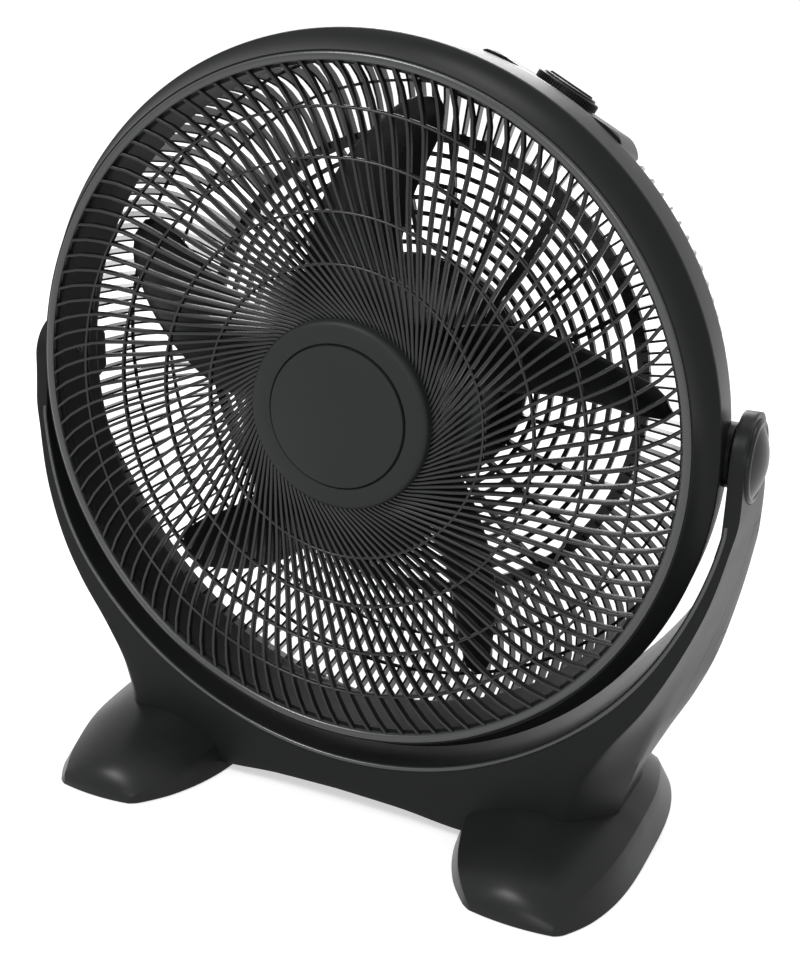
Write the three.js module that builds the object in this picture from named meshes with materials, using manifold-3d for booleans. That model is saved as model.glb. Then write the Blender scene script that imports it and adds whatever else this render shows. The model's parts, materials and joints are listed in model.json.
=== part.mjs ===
// Air circulator fan: a round tilting head in a U-shaped yoke on two separate feet.
// Millimetres, +Z up, the fan blows towards -Y, +X is to the right seen from the front.
// The origin is on the ground under the middle of the tilt axis.
import * as THREE from 'three';
import { mergeVertices } from 'three/addons/utils/BufferGeometryUtils.js';
import Module from 'manifold-3d';

const wasm = await Module();
wasm.setup();

// ---------------------------------------------------------------- driving dimensions
const clearance = 0.3;          // gap between pieces that touch
const runningClearance = 0.3;   // radial gap between a turning piece and its bore

// head, with "front" distances measured forward from the tilt axis
const headSegments = 36;        // flat faces round the large rings
const ringSegments = 24;        // and round the small ones
const motorSegments = 20;
const grilleRadius = 224;       // inside of the bright lip
const lipWidth = 5.3;
const lipFront = 50.5;
const lipDepth = 5;
const ductStep = 2;             // the duct stands this far inside the lip
const bezelWall = 2.6;
const bezelLand = 1;            // flat edge round the lip
const bezelFlare = 11.6;        // widening of the front face from the lip to the rim
const flareFront = 30;          // where the rim stands
const drumTaper = 1.9;          // the head's side narrows by this behind the rim
const headGap = 7.8;            // from the rim to the inside of the yoke
const baseHeight = 40;          // from the ground to the lowest point inside the yoke

const ductRadius = grilleRadius - ductStep;
const bezelLipRadius = grilleRadius + lipWidth + clearance;
const bezelFrontRadius = bezelLipRadius + bezelLand;
const flareRadius = bezelFrontRadius + bezelFlare;
const rimRadius = flareRadius - drumTaper;      // at the back end of the bezel
const yokeInnerRadius = flareRadius + headGap;
const pivotHeight = yokeInnerRadius + baseHeight;

// front grille
const ribCount = 16;
const ribWidth = 2.4;
const ribDepth = 3.4;
const ringWidth = 2.2;
const ringDepth = 4;
const ringInsets = [27, 57.8, 91.3, 125.1];     // from the lip to each ring
const hubRadius = 63.9;
const hubFront = 48.7;
const hubDepth = 8;
const badgeRim = 16;            // width of the hub's ring round the disc
const badgeThickness = 3.5;
const badgeProud = 1.6;

// rear grille
const backDistance = 78;
const flangeThickness = 3.6;
const finCount = 18;
const finWidth = 2.6;
const finDepth = 6;
const spokeSweep = 8;           // degrees that a spoke of the flat back leans over its length
const bandInset = 74.3;         // from the rim in to the middle of the flat back's outer ring
const bandWidth = 8;
const backRingRadius = 122.7;
const plateRadius = 84;
const plateHole = 50;
const plateThickness = 3;

// tilt pivots
const bossRadius = 20;
const bossBehind = 15.5;        // the boss is cut off flat this far behind the axis
const bossProud = 3.8;          // how far it stands out past the rim
const boltRadius = 4;
const boltSides = 12;
const boltHeadRadius = 8;
const boltHeadLength = 4.2;
const nutRadius = 7.5;
const nutLength = 5;
const washerRadius = 15;
const washerThickness = 1.9;
const bossInner = ductRadius + bezelWall + clearance;
const bossOuter = rimRadius + bossProud;

// yoke
const armInner = bossOuter + 2 * clearance + washerThickness;
const armThickness = 9.2;
const armEndRadius = 28;
const yokeHalfDepth = 45;
const yokeWall = 3;
const yokeBottom = 8;
const archHeight = 13;
const seamY = 18;
const rearShellDrop = 50;       // top edge of the rear shell, below the tilt axis
const capRadius = 25.8;
const capDrop = 2;              // the cap's middle lies this far below the tilt axis
const capInset = 1.6;           // depth of the cap's seat in the arm
const capWall = 1.8;
const capRim = 2.4;             // height of the cap's edge over the arm
const capDome = 7.5;            // and of its middle

// feet
const footHalfLength = 117;
const footOuter = { end: 33, bulge: 26, power: 3.2 };       // half width to the outside
const footInner = { end: 27.5, bulge: 37.7, power: 2.7 };   // and to the inside
const footWall = 3;
const footBottom = 0.8;
const footFloorBottom = 4;
const footFloorTop = yokeBottom - clearance;
const footCrown = 38;
const padRadius = 9;
const padSetback = 21;          // from the foot's end to the middle of the pad
const padPlace = footHalfLength - padSetback;

// motor, on the head's axis
const shaftRadius = 4;
const motorRadius = 66;
const motorLength = 48.2;
const motorWall = 2.5;
const bearingRadius = 11;
const bearingLength = 7;
const stackLength = 20;
const stackSetback = 14.5;      // from the motor's front to the stack of laminations
const rotorRadius = 30.2;
const airGap = 0.8;
const windingInner = 34;
const windingOuter = 56;
const coverRadius = 82;
const coverDepth = 25.7;

// fan blade
const bladeCount = 5;
const tipGap = 18;              // from the blade tips to the duct
const bladeHubRadius = 52;
const bladeThickness = 2.6;
const bladeStartAngle = 80;     // degrees, the rear edge of the first blade

// speed control: a flat deck behind the rim, leaning back, with the knob square to it
const knobAngle = 60.5;         // degrees round the head from +X
const knobBehind = 32;
const knobLean = 13.5;
const knobRadius = 21.6;
const gripHeight = 5;
const knobFaceRadius = 18.4;
const knobFaceHeight = 1.5;
const knobGap = 0.4;
const deckInset = 8.6;           // from the rim's radius down to the deck under the knob
const controlDepth = 24;        // from the rim's radius down to the cover
const controlWall = 2.5;
const controlHalfAngle = 14.1;
const controlBack = 60;
const switchShaftRadius = 3;
const deckSeat = rimRadius - deckInset;

// screws
const screwRadius = 2;
const screwHeadRadius = 3.8;
const screwHeadLength = 2.4;
const headScrewAngles = [40, 140, 220, 320];
const headScrewInset = 8.4;     // from the rim in to the circle of the head's screws
const headScrewLength = 20;
const motorScrewInset = 6.5;
const motorScrewAngles = [45, 135, 225, 315];
const screwSides = 8;
const farAway = 400;            // past the object on every side

// ---------------------------------------------------------------- materials
function plastic(color, roughness) {
  return new THREE.MeshStandardMaterial({ color, roughness, metalness: 0 });
}

function metal(color, roughness) {
  return new THREE.MeshStandardMaterial({ color, roughness, metalness: 1 });
}

const blackPlastic = plastic(0x242525, 0.5);
const grillePlastic = plastic(0x2a2b2b, 0.42);
const rubber = plastic(0x151515, 0.9);
const steel = metal(0xa9acae, 0.35);
const darkSteel = metal(0x54585a, 0.5);
const copper = metal(0xb06a3a, 0.4);
const zinc = metal(0xc2c4c2, 0.4);
const capacitorShell = plastic(0xd9d6cc, 0.5);

// ---------------------------------------------------------------- solids
// A closed three.js geometry as a solid, its faces turned outwards.
function solidOf(geometry) {
  const bare = geometry.clone();
  bare.deleteAttribute('normal');
  bare.deleteAttribute('uv');
  const merged = mergeVertices(bare, 1e-4);
  const index = merged.index.array;
  const kept = [];
  for (let i = 0; i < index.length; i += 3) {
    const [a, b, c] = [index[i], index[i + 1], index[i + 2]];
    if (a !== b && b !== c && c !== a) kept.push(a, b, c);
  }
  const make = (triangles) => new wasm.Manifold(new wasm.Mesh({
    numProp: 3,
    vertProperties: new Float32Array(merged.attributes.position.array),
    triVerts: new Uint32Array(triangles),
  }));
  const solid = make(kept);
  if (solid.volume() > 0) return solid;
  const flipped = [];
  for (let i = 0; i < kept.length; i += 3) flipped.push(kept[i], kept[i + 2], kept[i + 1]);
  return make(flipped);
}

function geometryOf(solid) {
  const mesh = solid.getMesh();
  const geometry = new THREE.BufferGeometry();
  geometry.setAttribute('position', new THREE.BufferAttribute(new Float32Array(mesh.vertProperties), 3));
  geometry.setIndex(new THREE.BufferAttribute(new Uint32Array(mesh.triVerts), 1));
  geometry.computeVertexNormals();
  return geometry;
}

function joined(solids) {
  return solids.reduce((sum, solid) => sum.add(solid));
}

function cut(solid, cutters) {
  return cutters.reduce((rest, cutter) => rest.subtract(cutter), solid);
}

// Section loops of equal length joined side by side, with a flat cap at each end.
function loft(sections) {
  const count = sections[0].length;
  const positions = sections.flat().flatMap((p) => [p.x, p.y, p.z]);
  const index = [];
  for (let s = 0; s + 1 < sections.length; s += 1) {
    for (let i = 0; i < count; i += 1) {
      const j = (i + 1) % count;
      const [a, b, c, d] = [s * count + i, s * count + j, (s + 1) * count + i, (s + 1) * count + j];
      index.push(a, b, c, b, d, c);
    }
  }
  const last = (sections.length - 1) * count;
  for (let i = 1; i + 1 < count; i += 1) {
    index.push(0, i + 1, i);
    index.push(last, last + i, last + i + 1);
  }
  const geometry = new THREE.BufferGeometry();
  geometry.setAttribute('position', new THREE.Float32BufferAttribute(positions, 3));
  geometry.setIndex(index);
  return solidOf(geometry);
}

// A ring or disc about the head's axis, from [radius, distance in front of the tilt axis].
function turned(profile, segments = headSegments) {
  const points = profile.map(([r, front]) => new THREE.Vector2(r, -front));
  if (profile[0][0] > 0 || profile.at(-1)[0] > 0) points.push(points[0].clone());
  return solidOf(new THREE.LatheGeometry(points, segments));
}

function band(inner, outer, front, back, segments = headSegments) {
  return turned([[inner, back], [outer, back], [outer, front], [inner, front]], segments);
}

// A rod between two points along one of the axes.
function rod(axis, radius, from, to, place, sides = screwSides) {
  const geometry = new THREE.CylinderGeometry(radius, radius, to - from, sides);
  const middle = (from + to) / 2;
  const [u, v] = place;
  if (axis === 'x') geometry.rotateZ(Math.PI / 2).translate(middle, u, v);
  if (axis === 'y') geometry.translate(u, middle, v);
  if (axis === 'z') geometry.rotateX(Math.PI / 2).translate(u, v, middle);
  return solidOf(geometry);
}

function block(low, high) {
  const size = high.map((value, i) => value - low[i]);
  const geometry = new THREE.BoxGeometry(...size);
  geometry.translate(...low.map((value, i) => value + size[i] / 2));
  return solidOf(geometry);
}

function mirrored(solid) {
  return solid.mirror([1, 0, 0]);
}

function bothSides(solid) {
  return [solid, mirrored(solid)];
}

const radians = THREE.MathUtils.degToRad;

function onCircle(radius, angle) {
  return [radius * Math.cos(radians(angle)), radius * Math.sin(radians(angle))];
}

// Value at x on straight lines through the [x, value] points.
function along(points, x) {
  const next = points.findIndex(([at]) => at >= x);
  if (next === 0) return points[0][1];
  if (next < 0) return points.at(-1)[1];
  const [[x0, v0], [x1, v1]] = [points[next - 1], points[next]];
  return v0 + ((v1 - v0) * (x - x0)) / (x1 - x0);
}

// ---------------------------------------------------------------- the assembly
const fan = new THREE.Group();
const head = new THREE.Group();
head.position.z = pivotHeight;
fan.add(head);

function place(group, name, solid, material) {
  const mesh = new THREE.Mesh(geometryOf(solid), material);
  mesh.name = name;
  group.add(mesh);
}

// ---------------------------------------------------------------- front bezel and the duct behind it
const ductOuter = ductRadius + bezelWall;
const lipBack = lipFront - lipDepth;
const seatFront = lipBack - clearance;
const seatBack = seatFront - bezelWall;
const edgeFront = lipFront - 1.3;
const headScrewCircle = rimRadius - headScrewInset;

function headScrewRods(radius, front, back) {
  return headScrewAngles.map((angle) => rod('y', radius, -front, -back, onCircle(headScrewCircle, angle)));
}

function pivotNotches() {
  return bothSides(rod('x', bossRadius + clearance, bossInner, bossOuter, [0, 0], ringSegments));
}

function frontBezel() {
  const shell = turned([
    [ductRadius, seatBack],
    [ductRadius, seatFront],
    [bezelLipRadius, seatFront],
    [bezelLipRadius, edgeFront],
    [bezelFrontRadius, edgeFront],
    [flareRadius, flareFront],
    [rimRadius, 0],
    [rimRadius - bezelWall, 0],
    [flareRadius - bezelWall, flareFront - bezelWall / 2],
    [bezelLipRadius - 1, seatBack],
  ]);
  const bosses = headScrewRods(screwRadius + 4.4, headScrewLength + 12, 0);
  const bores = headScrewRods(screwRadius + clearance, headScrewLength, -1);
  return cut(joined([shell, ...bosses]), [...bores, ...pivotNotches()]);
}

place(head, 'front_bezel', frontBezel(), blackPlastic);
place(head, 'air_duct', band(ductRadius, ductOuter, seatBack - clearance, 0), blackPlastic);

// ---------------------------------------------------------------- front grille
// Front of the grille at a radius: flat at the lip and set back towards the hub.
const ringRadii = ringInsets.map((inset) => grilleRadius - inset);
const faceFront = lipFront - 1.5;
const ringDrops = [0.4, 0.9, 2.7, 5.5];
const ringFaces = ringRadii.map((radius, i) => [radius, faceFront - ringDrops[i]]);
const grilleFace = [[hubRadius, lipFront - 9], ...ringFaces.reverse(), [grilleRadius, faceFront]];

// Lean of a rib from the radial direction, in degrees, at a radius.
const ribSpan = grilleRadius - hubRadius;
const ribLean = [[0, 50], [0.075, 43], [0.175, 34], [0.37, 24], [0.575, 17], [0.69, 15], [0.875, 25],
  [1, 34]].map(([share, lean]) => [hubRadius + share * ribSpan, lean]);

// Turn of a rib round the axis, in radians, from the hub out to a radius.
function ribTurn(radius) {
  const steps = 60;
  const step = (radius - hubRadius) / steps;
  let turn = 0;
  for (let i = 0; i < steps; i += 1) {
    const r = hubRadius + (i + 0.5) * step;
    turn += (Math.tan(radians(along(ribLean, r))) * step) / r;
  }
  return turn;
}

function rib(startAngle) {
  const stops = [0.09, 0.22, 0.5, 0.85].map((share) => hubRadius + share * ribSpan);
  const sections = [hubRadius - 2, ...stops, grilleRadius + 1.5].map((radius) => {
    const angle = startAngle + ribTurn(radius);
    const lean = radians(along(ribLean, radius));
    const sideways = angle + lean + Math.PI / 2;
    const across = new THREE.Vector3(Math.cos(sideways), 0, Math.sin(sideways));
    const middle = new THREE.Vector3(radius * Math.cos(angle), 0, radius * Math.sin(angle));
    const front = -along(grilleFace, radius);
    const corner = (side, y) => middle.clone().addScaledVector(across, (side * ribWidth) / 2).setY(y);
    return [corner(1, front), corner(-1, front), corner(-1, front + ribDepth), corner(1, front + ribDepth)];
  });
  return loft(sections);
}

const badgeRadius = hubRadius - badgeRim;

function frontGrille() {
  const lip = turned([
    [grilleRadius, lipBack],
    [grilleRadius + lipWidth, lipBack],
    [grilleRadius + lipWidth, lipFront - 1.5],
    [grilleRadius + lipWidth / 2, lipFront],
    [grilleRadius, lipFront - 1.5],
  ]);
  const hub = turned([
    [0, hubFront - hubDepth],
    [hubRadius, hubFront - hubDepth],
    [hubRadius, hubFront - 3],
    [hubRadius - 3, hubFront],
    [badgeRadius + clearance, hubFront],
    [badgeRadius + clearance, hubFront + badgeProud - badgeThickness - clearance],
    [0, hubFront + badgeProud - badgeThickness - clearance],
  ], ringSegments);
  const rings = ringRadii.map((radius) => {
    const front = along(grilleFace, radius) - 0.4;
    const segments = radius < 0.6 * grilleRadius ? ringSegments : headSegments;
    return band(radius - ringWidth / 2, radius + ringWidth / 2, front, front - ringDepth, segments);
  });
  const ribs = [];
  for (let i = 0; i < ribCount; i += 1) ribs.push(rib((i * 2 * Math.PI) / ribCount));
  return joined([lip, hub, ...rings, ...ribs]);
}

place(head, 'front_grille', frontGrille(), grillePlastic);

place(head, 'hub_badge', turned([
  [0, hubFront + badgeProud - badgeThickness],
  [badgeRadius, hubFront + badgeProud - badgeThickness],
  [badgeRadius, hubFront + badgeProud - 0.8],
  [badgeRadius - 1, hubFront + badgeProud],
  [0, hubFront + badgeProud],
], ringSegments), blackPlastic);

// ---------------------------------------------------------------- speed control
function ringSector(inner, outer, startAngle, endAngle, front, back) {
  const shape = new THREE.Shape();
  shape.absarc(0, 0, outer, radians(startAngle), radians(endAngle), false);
  shape.absarc(0, 0, inner, radians(endAngle), radians(startAngle), true);
  const settings = { depth: back - front, bevelEnabled: false, curveSegments: 6 };
  const geometry = new THREE.ExtrudeGeometry(shape, settings);
  geometry.rotateX(Math.PI / 2).translate(0, back, 0);
  return solidOf(geometry);
}

// Moves a geometry made round the z axis, with z = 0 on the deck, to the knob's place.
function toKnob(geometry) {
  const [x, z] = onCircle(deckSeat, knobAngle);
  geometry.rotateX(-radians(knobLean)).rotateY(Math.PI / 2 - radians(knobAngle));
  return solidOf(geometry.translate(x, knobBehind, z));
}

function knobRod(radius, from, to, sides = screwSides) {
  const geometry = new THREE.CylinderGeometry(radius, radius, to - from, sides);
  return toKnob(geometry.rotateX(Math.PI / 2).translate(0, 0, (from + to) / 2));
}

function knobBlock(width, depth, from, to) {
  return toKnob(new THREE.BoxGeometry(width, depth, to - from).translate(0, 0, (from + to) / 2));
}

const flangeBack = flangeThickness + clearance;
const controlFront = flangeBack + clearance;
const controlBottom = rimRadius - controlDepth - controlWall - 5.8;

// The control's outer form, every face moved out by grow, cut off flat by the leaning deck.
function controlForm(grow, bottom = controlBottom - grow) {
  const turn = THREE.MathUtils.radToDeg(grow / deckSeat);
  const sector = ringSector(bottom, rimRadius + 1 + grow, knobAngle - controlHalfAngle - turn,
    knobAngle + controlHalfAngle + turn, controlFront - grow, controlBack + grow);
  return sector.intersect(knobBlock(farAway, farAway, -farAway, grow));
}

function controlHousing() {
  const inside = controlForm(-controlWall, controlBottom - 5);
  const shaftHole = knobRod(switchShaftRadius + clearance, -2 * controlWall, controlWall);
  return cut(controlForm(0), [inside, shaftHole]);
}

place(head, 'control_housing', controlHousing(), blackPlastic);

const coverGrow = -controlWall - clearance;
const coverTurn = THREE.MathUtils.radToDeg(coverGrow / controlBottom);
place(head, 'control_cover', ringSector(controlBottom, controlBottom + controlWall,
  knobAngle - controlHalfAngle - coverTurn, knobAngle + controlHalfAngle + coverTurn,
  controlFront - coverGrow, controlBack + coverGrow), blackPlastic);

const switchTop = -controlWall - clearance;
const switchHeight = 13;
const switchWidth = 30;
const switchDepth = 26;
const switchPlastic = plastic(0x1c1c1c, 0.6);
place(head, 'rotary_switch', knobBlock(switchWidth, switchDepth, switchTop - switchHeight, switchTop),
  switchPlastic);

const gripTop = knobGap + gripHeight;
const knobTop = gripTop + knobFaceHeight;
const shaftTop = knobTop - 2;
place(head, 'switch_shaft', knobRod(switchShaftRadius, switchTop + clearance, shaftTop), steel);

function speedKnob() {
  const profile = [
    [0, knobGap],
    [knobRadius, knobGap],
    [knobRadius, gripTop],
    [knobFaceRadius, gripTop],
    [knobFaceRadius, knobTop - 0.6],
    [knobFaceRadius - 0.8, knobTop],
    [0, knobTop],
  ];
  const points = profile.map(([r, height]) => new THREE.Vector2(r, height));
  const body = toKnob(new THREE.LatheGeometry(points, ringSegments).rotateX(Math.PI / 2));
  const pointer = knobBlock(2 * knobFaceRadius - 5, 4, gripTop, knobTop + 1.2);
  const bore = knobRod(switchShaftRadius + clearance, 0, shaftTop + clearance);
  return joined([body, pointer]).subtract(bore);
}

place(head, 'speed_knob', speedKnob(), blackPlastic);

// ---------------------------------------------------------------- rear grille
// Outline of the skirt, from the flange to the flat back: how far inside the rim's radius, and what
// share of the way back.
const skirtShape = [[4.3, 0.256], [9.3, 0.513], [18.3, 0.744], [32.3, 0.897], [50.3, 0.974], [72.3, 1]];
const skirtOutline = [[rimRadius - 1.8, flangeBack],
  ...skirtShape.map(([inset, share]) => [rimRadius - inset, share * backDistance])];
const bandRadius = rimRadius - bandInset;
const backPath = [...skirtOutline, [(bandRadius + plateRadius) / 2, backDistance],
  [plateRadius - 2, backDistance]];

function fin(angle) {
  const sections = backPath.map(([radius, behind], i) => {
    const before = backPath[Math.max(i - 1, 0)];
    const after = backPath[Math.min(i + 1, backPath.length - 1)];
    const inward = new THREE.Vector2(-(after[1] - before[1]), after[0] - before[0]).normalize();
    const inside = [radius + inward.x * finDepth, behind + inward.y * finDepth];
    const lean = radians(spokeSweep) * Math.max(0, (bandRadius - radius) / (bandRadius - plateRadius));
    const turn = radians(angle) - lean;
    const across = new THREE.Vector3(-Math.sin(turn), 0, Math.cos(turn)).multiplyScalar(finWidth / 2);
    const at = ([r, y]) => new THREE.Vector3(r * Math.cos(turn), y, r * Math.sin(turn));
    const [outer, inner] = [at([radius, behind]), at(inside)];
    return [
      outer.clone().add(across),
      outer.clone().sub(across),
      inner.clone().sub(across),
      inner.clone().add(across),
    ];
  });
  return loft(sections);
}

function boltRods(radius, from, to, sides = boltSides) {
  return bothSides(rod('x', radius, from, to, [0, 0], sides));
}

const motorScrewCircle = motorRadius - motorScrewInset;

function motorScrewRods(radius, from, to) {
  return motorScrewAngles.map((angle) => rod('y', radius, from, to, onCircle(motorScrewCircle, angle)));
}

function skirtBehind(radius) {
  return along(skirtOutline.map(([r, behind]) => [-r, behind]), -radius);
}

const plateBack = backDistance + 1;
const plateFront = plateBack - plateThickness;

function rearGrille() {
  const flange = band(ductRadius + 1.5, rimRadius - 0.5, -clearance, -flangeBack);
  const skirtRingRadius = rimRadius - 16.3;
  const skirtBack = -skirtBehind(skirtRingRadius);
  const skirtRing = band(skirtRingRadius - 4, skirtRingRadius, skirtBack + 4, skirtBack);
  const flatRing = (radius, width, proud, segments) => (
    band(radius - width / 2, radius + width / 2, -backDistance + 4, -backDistance - proud, segments));
  const outerRing = flatRing(bandRadius, bandWidth, 0.5, headSegments);
  const innerRing = flatRing(backRingRadius, 3, 0, ringSegments);
  const plate = band(plateHole, plateRadius, -plateFront, -plateBack, ringSegments);
  const fins = [];
  for (let i = 0; i < finCount; i += 1) fins.push(fin(((i + 0.5) * 360) / finCount));
  const bosses = boltRods(bossRadius, bossInner, bossOuter, 24)
    .map((boss) => boss.intersect(block([-farAway, -farAway, -farAway], [farAway, bossBehind, farAway])));
  const nutSeat = bossInner + nutLength + clearance;
  return cut(joined([flange, skirtRing, outerRing, innerRing, plate, ...fins, ...bosses]), [
    controlForm(clearance),
    ...boltRods(boltRadius + clearance, bossInner - 1, bossOuter + 1),
    ...boltRods(nutRadius + clearance, bossInner - 1, nutSeat, 6),
    ...headScrewRods(screwRadius + clearance, 1, -10),
    ...motorScrewRods(screwRadius + clearance, backDistance - 10, backDistance + 5),
  ]);
}

place(head, 'rear_grille', rearGrille(), blackPlastic);

headScrewAngles.forEach((angle, i) => {
  const [x, z] = onCircle(headScrewCircle, angle);
  const under = flangeBack + clearance;
  const screw = rod('y', screwRadius, -headScrewLength + 1, under + 0.5, [x, z])
    .add(rod('y', screwHeadRadius, under, under + screwHeadLength, [x, z]));
  place(head, `head_screw_${i + 1}`, screw, steel);
});

// ---------------------------------------------------------------- motor
const bellBack = plateFront - clearance;
const bellFront = bellBack - motorWall;
const motorFront = bellBack - motorLength;
const stackStart = motorFront + stackSetback;
const seatOuter = bearingRadius + clearance + 3;
const seatInner = bearingRadius + clearance;
const boreRadius = shaftRadius + runningClearance + 0.3;

function motorEndBell() {
  const bell = turned([
    [boreRadius, -bellBack],
    [motorRadius, -bellBack],
    [motorRadius, -bellFront],
    [seatOuter, -bellFront],
    [seatOuter, -bellFront + bearingLength],
    [seatInner, -bellFront + bearingLength],
    [seatInner, -bellFront],
    [boreRadius, -bellFront],
  ], motorSegments);
  return cut(bell, motorScrewRods(screwRadius + clearance, bellFront - 5, bellBack + 5));
}

place(head, 'motor_end_bell', motorEndBell(), darkSteel);

function motorHousing() {
  const rear = bellFront - clearance;
  const wallFront = motorFront + motorWall;
  return turned([
    [motorRadius, -rear],
    [motorRadius, -motorFront - 3],
    [motorRadius - 3, -motorFront],
    [boreRadius, -motorFront],
    [boreRadius, -motorFront - 1.5],
    [seatInner, -motorFront - 1.5],
    [seatInner, -motorFront - 1.5 - bearingLength],
    [seatOuter, -motorFront - 1.5 - bearingLength],
    [seatOuter, -wallFront],
    [motorRadius - motorWall, -wallFront - 1],
    [motorRadius - motorWall, -rear],
  ], motorSegments);
}

place(head, 'motor_housing', motorHousing(), darkSteel);

const stackEnd = stackStart + stackLength;
const windingLength = 5;
const statorRadius = motorRadius - motorWall - clearance;

function stack(inner, outer) {
  return band(inner, outer, -stackStart, -stackEnd, motorSegments);
}

place(head, 'stator_core', stack(rotorRadius + airGap, statorRadius), darkSteel);
place(head, 'winding_front', band(windingInner, windingOuter, -stackStart + clearance + windingLength,
  -stackStart + clearance, motorSegments), copper);
place(head, 'winding_rear', band(windingInner, windingOuter, -stackEnd - clearance,
  -stackEnd - clearance - windingLength, motorSegments), copper);

const bearingInner = shaftRadius + runningClearance;
const frontBearing = motorFront + 1.5 + clearance;
const rearBearing = bellFront - clearance - bearingLength;

function bearing(behind) {
  return band(bearingInner, bearingRadius, -behind, -behind - bearingLength, 16);
}

place(head, 'front_bearing', bearing(frontBearing), steel);
place(head, 'rear_bearing', bearing(rearBearing), steel);

motorScrewAngles.forEach((angle, i) => {
  const [x, z] = onCircle(motorScrewCircle, angle);
  const under = plateBack + clearance;
  const screw = rod('y', screwRadius, bellFront - 0.5, under + 0.5, [x, z])
    .add(rod('y', screwHeadRadius, under, under + screwHeadLength, [x, z]));
  place(head, `motor_screw_${i + 1}`, screw, steel);
});

// ---------------------------------------------------------------- motor rear cover
const coverFront = plateBack + clearance;
const coverBack = coverFront + coverDepth;
const grommetBehind = coverFront + 7.3;
const grommetRadius = 5;
const cordHoleRadius = 3.5;

function rearCover() {
  const wall = controlWall;
  const shell = turned([
    [0, -coverBack],
    [50, -coverBack + 1],
    [coverRadius - 8, -coverBack + 5],
    [coverRadius, -coverBack + 13],
    [coverRadius, -coverFront],
    [coverRadius - wall, -coverFront],
    [coverRadius - wall, -coverBack + 14],
    [coverRadius - 9, -coverBack + 5 + wall],
    [49.5, -coverBack + 1 + wall],
    [0, -coverBack + wall],
  ], ringSegments);
  const cordHole = rod('z', grommetRadius + clearance, -coverRadius - 5, -coverRadius + 8, [0, grommetBehind]);
  return shell.subtract(cordHole);
}

place(head, 'motor_rear_cover', rearCover(), blackPlastic);

function cordGrommet() {
  const shank = rod('z', grommetRadius, -coverRadius - 2, -coverRadius + 6, [0, grommetBehind]);
  const collarTop = -coverRadius - clearance;
  const collar = rod('z', grommetRadius + 2, collarTop - 3, collarTop, [0, grommetBehind], 16);
  const hole = rod('z', cordHoleRadius, -coverRadius - 9, -coverRadius + 9, [0, grommetBehind]);
  return joined([shank, collar]).subtract(hole);
}

place(head, 'cord_grommet', cordGrommet(), rubber);

const capacitorHalf = 17;
const capacitorTop = coverRadius - controlWall - 8.5;
place(head, 'run_capacitor', block([-capacitorHalf, coverFront, capacitorTop - 18],
  [capacitorHalf, coverFront + 12, capacitorTop]), capacitorShell);

// ---------------------------------------------------------------- fan blade, shaft and rotor
// Edges of a blade, from hub to tip: [share of its length, degrees from its start, distance in front of
// the tilt axis].
const bladeTipRadius = ductRadius - tipGap;
const bladeRoot = bladeHubRadius - 4;
const bladeAt = (share) => bladeRoot + share * (bladeTipRadius - bladeRoot);
const rearEdge = [[0, 4, -19], [0.14, 3, -15], [0.26, 1.5, -12], [0.49, 0.5, -10], [0.72, -1.8, -9],
  [0.88, -3.4, -8], [1, -3, -6]];
const frontEdge = [[0, 46, -4], [0.14, 40, 8], [0.26, 35, 15], [0.49, 24, 19], [0.72, 14.3, 18],
  [0.88, 6.6, 14], [1, 0.4, 5]];
const bladeCamber = 0.1;

function blade(startAngle) {
  const sections = rearEdge.map((rear, i) => {
    const front = frontEdge[i];
    const radius = bladeAt(rear[0]);
    const chord = [0, 1 / 3, 2 / 3, 1].map((share) => {
      const angle = radians(startAngle + THREE.MathUtils.lerp(rear[1], front[1], share));
      const bow = bladeCamber * 4 * share * (1 - share) * (front[2] - rear[2]);
      const ahead = THREE.MathUtils.lerp(rear[2], front[2], share) + bow;
      return new THREE.Vector3(radius * Math.cos(angle), -ahead, radius * Math.sin(angle));
    });
    const half = new THREE.Vector3(0, bladeThickness / 2, 0);
    const facing = chord.map((p) => p.clone().sub(half));
    const behind = chord.map((p) => p.clone().add(half));
    return [...facing, ...behind.reverse()];
  });
  return loft(sections);
}

const hubBack = -motorFront + 3.5;
const hubFace = 8.5;
const hubWall = 2.5;
const boreBossRadius = 9;
const bladeHubSegments = 30;

function fanBlade() {
  const hub = turned([
    [bearingInner, hubBack + 2],
    [boreBossRadius, hubBack + 2],
    [boreBossRadius, hubFace - 3],
    [bladeHubRadius - 6, hubFace - 3],
    [bladeHubRadius - hubWall, hubFace - 6.5],
    [bladeHubRadius - hubWall, hubBack],
    [bladeHubRadius, hubBack],
    [bladeHubRadius, hubFace - 5.5],
    [bladeHubRadius - 4.5, hubFace],
    [bearingInner, hubFace],
  ], bladeHubSegments);
  const insideRadius = bladeHubRadius - hubWall / 2;
  const inside = rod('y', insideRadius, -hubFace + 3.1, -hubBack + 9, [0, 0], bladeHubSegments);
  const blades = [];
  for (let i = 0; i < bladeCount; i += 1) {
    blades.push(blade(bladeStartAngle + (i * 360) / bladeCount).subtract(inside));
  }
  return joined([hub, ...blades]);
}

place(head, 'fan_blade', fanBlade(), blackPlastic);

const shaftFront = hubFace + 13;
place(head, 'motor_shaft', rod('y', shaftRadius, -shaftFront, bellBack - 1, [0, 0], 16), steel);
place(head, 'rotor_core', stack(bearingInner, rotorRadius), darkSteel);

place(head, 'blade_nut', turned([
  [bearingInner, hubFace + clearance],
  [15, hubFace + clearance],
  [15, hubFace + 8],
  [10, shaftFront + 2],
  [0, shaftFront + 3.5],
  [0, shaftFront + clearance],
  [bearingInner, shaftFront + clearance],
], 24), blackPlastic);

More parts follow.
